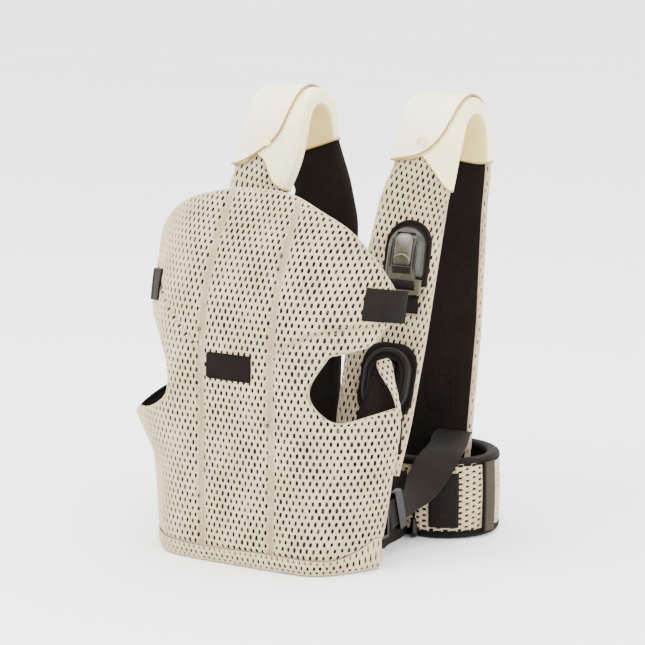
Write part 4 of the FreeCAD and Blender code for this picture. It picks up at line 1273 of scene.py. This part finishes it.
TONGUES = {
    "right": [(135, -66.4, 144, 3.6), (133, -66.4, 156, 3.4), (128, -65, 169, 3.4), (121, -63, 180, 5.6),
              (116, -61, 189, 7.6), (112, -59.5, 198, 7.0)],
    "left": [(-140, -90, 112, 3.6), (-137, -88, 118, 3.0), (-130, -80, 123, 3.4), (-120, -74, 130, 5.4),
             (-108, -68, 138, 6.8), (-98, -64, 145, 6.0)],
}
TONGUE_HINTS = [(-0.35, 0.93, 0.1), (-0.35, 0.93, 0.1), (0.35, 0.9, 0), (0.7, 0.7, 0), (0.86, 0.5, 0), (0.86, 0.5, 0)]
WING_LININGS = {
    "right": ([(92, -75, 108), (93, -72, 139), (103, -66, 172), (112, -60, 193)],
              [(133, -62, 108), (134, -62, 140), (127, -61, 168), (115, -58, 194)]),
    "left": ([(-124, -82, 108), (-142, -91, 124), (-125, -74, 145), (-100, -62, 158)],
             [(-110, -80, 108), (-110, -78, 116), (-104, -74, 128), (-97, -66, 150)]),
}
for side, sign in (("right", 1), ("left", -1)):
    buckle = face_frame(sign * 89, (16, 200), (52, 331), 280)
    # Backing patch with a raised stitched arch round the buckle.
    patch_line = plate_outline(49.5, 63, 24, 4)

    def patch_height(share, x, y):
        arch = math.exp(-((share - 0.95) / 0.028) ** 2) * step_up(y, -14, -4)
        return 0.9 + 0.7 * round_edge(share, 0.05) + 1.5 * arch

    patch = relief_plate(f"buckle_patch_cloth_{side}", buckle, patch_line, 0.1, patch_height, "webbing")
    settle(patch, "carrier", "webbing", f"buckle_patch_{side}")
    arch = [(x, y) for x, y in patch_line * 0.93 if y > -6]
    arch.sort(key=lambda p: math.atan2(p[0], p[1] + 6))
    arch = np.array([buckle(x, y, 3.2) for x, y in arch])
    settle(stitches(f"buckle_patch_stitches_{side}", arch, buckle(0, 0, 1) - buckle(0, 0, 0), "black_thread",
                    3.2, 2.3, 0.45), "carrier", "webbing")
    paint_node(f"buckle_clip_{side}", "buckle")
    bevel_node(f"buckle_clip_{side}", 0.8)

    def shell_height(share, x, y):
        dome = 1.9 + 10.0 * math.sqrt(max(0.0, 1 - share ** 3.4))
        window = step_up(10.0 - abs(x), -0.4, 0.4) * step_up(17.8 - y, -0.4, 0.4) * step_up(y + 13.8, -0.4, 0.4)
        channel = math.exp(-((abs(x) - 12.6) / 1.2) ** 2) * step_up(10 - y, -4, 4) * step_up(y + 21, -2, 2)
        lip = 0.7 * math.exp(-((abs(x) - 15.2) / 1.0) ** 2) * step_up(4 - y, -5, 5) * step_up(y + 24, -2, 2)
        return max(dome + lip - 4.2 * window - 2.6 * channel, 1.7)

    shell = relief_plate(f"buckle_housing_moulding_{side}", buckle, plate_outline(41, 50, 19.8, 6), 1.6, shell_height,
                         "buckle_shell", rings=60)
    settle(shell, "carrier", "buckle_plastic", f"buckle_housing_{side}")
    button_line = plate_outline(19, 30.6, 7, 4)

    def button_height(share, x, y):
        dish = 0.55 * math.exp(-(((x / 6.5) ** 2 + ((y + 8.5) / 5.0) ** 2)) ** 2)
        arc = 0.5 * math.exp(-((math.hypot(x, (y + 14) * 1.1) - 9.0) / 0.8) ** 2)
        return 10.6 + 1.6 * round_edge(share, 0.24) + 1.0 * (1 - share ** 2) - dish + arc

    button_place = lambda x, y, z, place=buckle: place(x, y + 2, z)
    button = relief_plate(f"release_button_cap_{side}", button_place, button_line, 10.5, button_height, "buckle")
    settle(button, f"{side}_button", "buckle_plastic", f"release_button_{side}")
    # Webbing through the clip's slot and over its bar.
    web = [(-58, 2.7), (-50, 2.7), (-42, 2.7), (-37.5, 2.9), (-35.2, 4.6), (-34.8, 7.8), (-33.6, 9.5),
           (-30.6, 10.0), (-27.4, 9.7)]
    web = [tuple(buckle(0, y, z)) + (15.4 + 5 * step_up(-36 - y, 0, 14),) for y, z in web]
    strip = ribbon(f"clip_webbing_strip_{side}", Route(web, step=0.8, smooth=4), -0.65, 0.65, "webbing")
    settle(strip, f"{side}_clip", "webbing", f"clip_webbing_{side}")

    # Guide lock: a moulded plate with ridges and a slider in its track.
    lock = face_frame(sign * 86, (-9, 118), (16, 200), 160)
    base_line = plate_outline(60, 74, 22, 22)
    sewn = relief_plate(f"lock_patch_cloth_{side}", lock, base_line, 0.1,
                        lambda share, x, y: 0.9 + 0.6 * round_edge(share, 0.05) + 0.5 * math.exp(-((share - 0.94) / 0.02) ** 2),
                        "webbing")
    settle(sewn, "carrier", "webbing", f"lock_patch_{side}")

    def lock_height(share, x, y):
        edge = round_edge(share, 0.12)
        ridges = 0.75 * math.exp(-((share - 0.84) / 0.030) ** 2) + 0.6 * math.exp(-((share - 0.66) / 0.035) ** 2)
        fan = 0.35 * math.cos(y * 1.05 + abs(x) * 0.5) * step_up(abs(x), 10.5, 12.5) * (1 - step_up(share, 0.5, 0.62))
        track = step_up(10.6 - abs(x), -0.6, 0.6) * step_up(18.6 - y, -0.6, 0.6) * step_up(y + 22.8, -0.6, 0.6)
        return 1.7 + 4.2 * edge + ridges + fan - 2.9 * track

    plate = relief_plate(f"lock_plate_moulding_{side}", lock, plate_outline(52, 66, 25, 25), 1.6, lock_height,
                         "black_plastic", rings=60)
    settle(plate, "carrier", "black_plastic", f"lock_plate_{side}")
    knob = relief_plate(f"lock_slider_knob_{side}", lambda x, y, z, place=lock: place(x, y + 6, z),
                        plate_outline(19.4, 23.4, 4, 4), 4.0,
                        lambda share, x, y: 4.4 + 4.3 * round_edge(share, 0.2) + 0.45 * math.cos(y * 1.9) * (share < 0.8),
                        "black_plastic", rings=40)
    settle(knob, f"{side}_guide", "black_plastic", f"lock_slider_{side}")

    # Stitched patch where the strap's back end is sewn.
    patch_y = BACK_Y - 2.6 - 6.5 - 1.2
    sewn_place = lambda x, y, z, sign=sign: np.array([sign * 82 + x, patch_y - z, 128 + y])
    square = relief_plate(f"strap_patch_cloth_{side}", sewn_place, plate_outline(31, 35, 3, 3), -0.6,
                          lambda share, x, y: 0.1 + 0.5 * round_edge(share, 0.06), "lining")
    settle(square, "carrier", "webbing", f"strap_patch_{side}")
    frame_line = [(-13, -15), (13, -15), (13, 15), (-13, 15), (-13, -15), (13, 15), (13, -15), (-13, 15)]
    dense = np.concatenate([np.linspace(a, b, 16) for a, b in zip(np.array(frame_line), np.array(frame_line[1:]))])
    settle(stitches(f"strap_patch_stitches_{side}", [sewn_place(x, y, 0.8) for x, y in dense], (0, -1, 0),
                    "black_thread", 3.2, 2.4, 0.4), "carrier", "webbing")

    # Mesh tongue that rises from the wing, and the ribbed cloth behind it.
    tongue = TONGUES[side]
    t_route = Route(tongue, hint=[(a * sign, b, c) for a, b, c in TONGUE_HINTS], step=1.5, smooth=8)

    def tongue_space(s, t, depth, route=t_route):
        roll = 1.9
        half = np.maximum(route.width(t) * np.where(t > route.length - 8, np.sqrt(np.clip(
            1 - ((t - route.length + 8) / 8.5) ** 2, 0.05, 1)), 1) - roll, 0.5)
        over = np.maximum(np.abs(s) - half, 0)
        turn = np.minimum(over / roll, math.pi)
        across = np.minimum(np.abs(s), half) + roll * np.sin(turn) - np.maximum(over - math.pi * roll, 0)
        return route.at(t, np.sign(s) * across, sign * ((roll - depth * 0.5) * np.cos(turn)))

    for_tongue = brick_centres(-15, 15, 1, t_route.length - 2, (5.0, 5.4))
    cloth = cell_cloth(f"wing_tongue_mesh_{side}", for_tongue, (5.0, 5.4), (2.4, 4.2), lambda p: np.full(len(p), 0.95),
                       lambda p, route=t_route: np.abs(p[:, 0]) < route.width(p[:, 1]) + 4.5, tongue_space, "mesh", 31,
                       deep=1.2)
    settle(cloth, "carrier", "air_mesh", f"wing_tongue_{side}")
    core = settle(ribbon(f"wing_tongue_core_{side}", t_route, -0.9, 0.9, "backing", scale=0.8, end=t_route.length - 4,
                         ends_round=5), "carrier", "foam")
    # Black ribbed cloth behind the wing's top edge, with a rolled rim.
    near, far = [catmull(line, 8) for line in WING_LININGS[side]]
    rings = []
    for a, b in zip(near, far):
        share = np.linspace(0, 1, 18)[:, None]
        front = a + (b - a) * share + np.array([0, 5.0, 0]) * np.sin(share * math.pi)
        rings.append(np.concatenate([front, (front + np.array([0, 1.6, 0]))[::-1]]))
    cloth = settle(sweep(f"wing_lining_cloth_{side}", rings, "ribbed_lining"), "carrier", "lining")
    rim = near
    rim = settle(tube(f"wing_lining_rim_{side}", rim, 1.5, "webbing"), "carrier", "lining")

# Waist belt -------------------------------------------------------------------------------------------
BELT_Y, REACH, TURN = 87.5, 97.5, 46.5
BELT_ROUND = math.pi * TURN
BELT_LENGTH = 4 * REACH + 2 * BELT_ROUND


def belt_point(s, out, z):
    """Point round the belt: s starts at the middle of its front and runs towards +X."""
    s = np.mod(np.asarray(s, float), BELT_LENGTH)
    out, z = np.broadcast_to(out, s.shape), np.broadcast_to(z, s.shape)
    radius = TURN + out
    ends = [REACH, REACH + BELT_ROUND, 3 * REACH + BELT_ROUND, 3 * REACH + 2 * BELT_ROUND]
    a = (s - ends[0]) / TURN - math.pi / 2
    b = (s - ends[2]) / TURN + math.pi / 2
    x = np.select([s < ends[0], s < ends[1], s < ends[2], s < ends[3]],
                  [s, REACH + radius * np.cos(a), REACH - (s - ends[1]), -REACH + radius * np.cos(b)],
                  s - BELT_LENGTH)
    y = np.select([s < ends[0], s < ends[1], s < ends[2], s < ends[3]],
                  [BELT_Y - radius, BELT_Y + radius * np.sin(a), BELT_Y + radius, BELT_Y + radius * np.sin(b)],
                  BELT_Y - radius)
    return np.stack([x + 4.5 * np.clip(x / 144, 0, 1) ** 2, y, z * 1.04], -1)


def belt_wave(s, z):
    return 0.7 * np.sin(s / 31.0) * np.sin(z / 19.0 + 1.0) + 0.5 * np.sin(s / 13.0 + z / 23.0)


def belt_space(v, u, depth):
    height, s = v, u
    swell = 1.6 * np.clip(1 - ((height - 38.5) / 33) ** 2, 0, 1) + 0.5 * belt_wave(s, height)
    return belt_point(s, 5.2 + swell - depth, height)


belt_cell = (5.6, 6.2)
columns = round(BELT_LENGTH / belt_cell[1])
belt_cell = (5.6, BELT_LENGTH / columns)
cells = brick_centres(0, 80, belt_cell[1] / 2, BELT_LENGTH, belt_cell)
belt_mesh = cell_cloth("belt_mesh_cloth", cells, belt_cell, (3.2, 5.3), lambda p: 0.9 + 0.1 * np.sin(p[:, 1] / 8),
                       lambda p: (p[:, 0] > 6) & (p[:, 0] < 71.5), belt_space, "mesh", 41)
settle(belt_mesh, "carrier", "air_mesh", "belt_mesh")


def belt_loop(name, profile, material, start=0.0, length=BELT_LENGTH, closed=True, step=4.0, wavy=1.0):
    """A band round the belt from an (out, z) cross-section."""
    profile = np.array(profile, float)
    rings = []
    for s in np.linspace(start, start + length, int(length / step), endpoint=not closed):
        wave = wavy * 0.35 * belt_wave(s, 30.0)
        rings.append(belt_point(np.full(len(profile), s), profile[:, 0] + wave, profile[:, 1]))
    return sweep(name, rings, material, closed)


core = [(2.6, 5), (3.0, 20), (3.2, 38), (3.0, 57), (2.6, 72), (-2.5, 72), (-3.0, 38), (-2.5, 5)]
settle(belt_loop("belt_padding_core", core, "backing"), "carrier", "foam", "belt_padding")
inner = [(-5.0, 4), (-5.6, 12), (-6.4, 26), (-6.0, 38), (-6.4, 50), (-5.6, 65), (-5.0, 73), (-3.4, 73), (-3.8, 38),
         (-3.4, 4)]
settle(belt_loop("belt_lining_cloth", inner, "lining"), "carrier", "lining", "belt_lining")


def binding_profile(edge, fold):
    """A tape folded over an edge: up one face, round and down the other."""
    way = 1 if fold > edge else -1
    points = []
    for t in np.linspace(0, math.pi, 13):
        points.append((6.1 * math.cos(t), edge + way * (3.4 - 3.4 * math.sin(t))))
    points.append((-6.2, fold))
    points.append((-5.0, fold + way * 0.5))
    points.append((5.2, fold + way * 0.5))
    points.append((6.2, fold))
    return points


for name, edge, fold, node in (("belt_binding_low", 0.2, 7.0, "belt_binding_bottom"),
                               ("belt_binding_high", 76.8, 70.0, "belt_binding_top")):
    band = settle(belt_loop(name, binding_profile(edge, fold), "webbing"), "carrier", "webbing", node)
    level = fold - math.copysign(1.6, fold - edge)
    s = np.arange(0, BELT_LENGTH, 1.5)
    settle(stitches(f"{name}_stitches", belt_point(s, 6.5, level),
                    belt_point(s, 7.5, level) - belt_point(s, 6.5, level), "black_thread", 3.2, 2.2, 0.3),
           "carrier", "webbing")


def on_turn(angle):
    """Distance round the belt to an angle on its right end."""
    return REACH + TURN * math.radians(angle + 90)


def belt_strip(name, first, last, low, high, thick, material, inset=6.9):
    rings = []
    for s in np.linspace(on_turn(first), on_turn(last), 26):
        near = min(s - on_turn(first), on_turn(last) - s)
        grow = thick * math.sqrt(max(0.15, 1 - (1 - min(near / 1.5, 1)) ** 2))
        heights = np.linspace(low, high, 24)
        bulge = 0.9 * np.clip(1 - ((heights - 38.5) / 33) ** 2, 0, 1)
        face = np.stack([inset + bulge + grow, heights], 1)
        back = np.stack([inset + bulge - 0.6, heights], 1)[::-1]
        profile = np.concatenate([face, back])
        rings.append(belt_point(np.full(len(profile), s), profile[:, 0], profile[:, 1]))
    return sweep(name, rings, material)


keeper = settle(belt_strip("belt_keeper_band", -78, -48, 12, 64, 1.6, "webbing"), "carrier", "webbing", "belt_keeper")
tab = settle(belt_strip("belt_end_tab_cloth", -18, -2, 5, 72, 2.0, "end_tab"), "carrier", "end_tab", "belt_end_tab")
border = settle(belt_strip("belt_end_tab_border", -20.5, -17, 5, 72, 2.3, "webbing"), "carrier", "end_tab")

# Side walls and seat ------------------------------------------------------------------------------------
for side, sign in (("right", 1), ("left", -1)):
    line = catmull([(115.5, -72.4), (108, -60), (100, -46), (94, -18), (89, 10), (86, 34.0)], 8)
    rings = []
    for k, (x, y) in enumerate(line):
        profile = []
        for z in np.linspace(3.2, 66, 22):
            fold = 1.1 * math.sin(z / 9.0 + y / 14) + 0.8 * math.sin(y / 7.0 - z / 17)
            profile.append((x + 1.3 + fold * min(1, k / 5, (len(line) - k) / 5), z))
        profile += [(px - 2.6, z) for px, z in profile[::-1]]
        rings.append([(sign * px, y, z) for px, z in profile])
    wall = settle(sweep(f"side_wall_cloth_{side}", rings, "ribbed_lining"), "carrier", "lining", f"side_wall_{side}")

seat_half = [(34, FRONT + 9.5), (68, FRONT + 20.5), (90, FRONT + 38.5), (102, FRONT + 63), (94, -46), (80, 34.4)]
seat_line = np.array(seat_half + [(-x, y) for x, y in reversed(seat_half)])
closed = np.concatenate([seat_line, seat_line[:1]])
known = np.concatenate([[0], np.cumsum(np.linalg.norm(np.diff(closed, axis=0), axis=1))])
even = np.linspace(0, known[-1], 160, endpoint=False)
seat_rim = np.stack([np.interp(even, known, closed[:, k]) for k in (0, 1)], 1)


def seat_top(share, x, y):
    return 3.6 + 0.9 * noise.noise(Vector((x * 0.03, y * 0.03, 2.0))) + 0.3 * math.sin(x / 6.0)


seat = relief_plate("seat_cloth", lambda x, y, z: np.array([x, y, z]), seat_rim, 2.2, seat_top, "lining",
                    centre=(0, -40), rings=40)
settle(seat, "carrier", "lining", "seat_base")

# Wide webbing from the strap's end, over the belt, to the side ring ----------------------------------------
WEB_LINE = [
    (100, 109, 92, 19, (1, 0, 0)), (100.4, 101, 91.3, 19, (1, 0, 0)), (112, 74, 88, 19, (1, 0.1, 0)),
    (120, 48, 86.5, 19, (1, 0.2, -0.1)), (120, 29, 76, 19, (0.9, 0.2, -0.35)), (115, 12, 58, 17, (0.6, 0.2, -0.7)),
    (110.2, -4, 47, 14, (0.05, 0.2, -0.98)), (107.8, -38, 39.5, 14, (0.05, 0.2, -0.98))]
for side, sign in (("right", 1), ("left", -1)):
    points = [(sign * x, y, z, half) for x, y, z, half, _ in WEB_LINE]
    hints = [(sign * a, b, c) for *_, (a, b, c) in WEB_LINE]
    route = Route(points, hint=hints, step=2.0, smooth=10)
    band = ribbon(f"wide_webbing_band_{side}", route, -0.75, 0.75, "wide_webbing")
    settle(band, "carrier", "webbing", f"wide_webbing_{side}")
    for node, key, width in (("webbing_slider", "gloss_black", 1.1), ("side_ring", "gloss_black", 0.9)):
        paint_node(f"{node}_{side}", key)
        bevel_node(f"{node}_{side}", width, 4)

# Webbing tabs on the head support ------------------------------------------------------------------------------
for side, sign in (("right", 1), ("left", -1)):
    rings = []
    last = float(side_end(249, sign))
    heights = np.linspace(234.5, 263.5, 14)
    over = 4.0
    for u in np.linspace(last - 41, last + over, 34):
        us = np.full(len(heights), sign * u)
        vs = climb_of(heights + 5.5 - 0.14 * (u - last + 41))
        base, normal = panel_base(us, vs), panel_normal(us, vs)
        edge = max(0.0, u - (last - 9))
        lift = 1.9 - 0.03 * edge ** 1.6 + (0.9 if u > last - 20 else 0.0)
        face, back = base + normal * (lift + 0.8), (base + normal * (lift - 0.8))[::-1]
        rings.append(np.concatenate([face, back]))
    tab = sweep(f"head_tab_webbing_{side}", rings, "webbing")
    settle(tab, "head_support", "webbing", f"head_tab_{side}")

# Floor and light
ground = bpy.data.objects.new("floor", bpy.data.meshes.new("floor"))
ground.data.from_pydata([(-30, -30, -0.0002), (30, -30, -0.0002), (30, 30, -0.0002), (-30, 30, -0.0002)], [], [(0, 1, 2, 3)])
ground.data.materials.append(MATS["floor"])
bpy.context.scene.collection.objects.link(ground)
world = bpy.data.worlds.new("studio")
world.use_nodes = True
world.node_tree.nodes["Background"].inputs[0].default_value = (1, 1, 1, 1)
world.node_tree.nodes["Background"].inputs[1].default_value = 3.2
bpy.context.scene.world = world


def area_light(name, place, target, size, power):
    data = bpy.data.lights.new(name, "AREA")
    data.size, data.energy = size, power
    obj = bpy.data.objects.new(name, data)
    obj.location = place
    obj.rotation_euler = (Vector(target) - Vector(place)).to_track_quat("-Z", "Y").to_euler()
    bpy.context.scene.collection.objects.link(obj)


area_light("key", (-0.9, -1.6, 1.9), (0, 0, 0.2), 1.4, 70)
area_light("fill", (1.9, -1.2, 1.0), (0, 0, 0.2), 1.6, 26)
area_light("top", (0.2, 0.5, 2.2), (0, 0, 0.2), 1.6, 34)
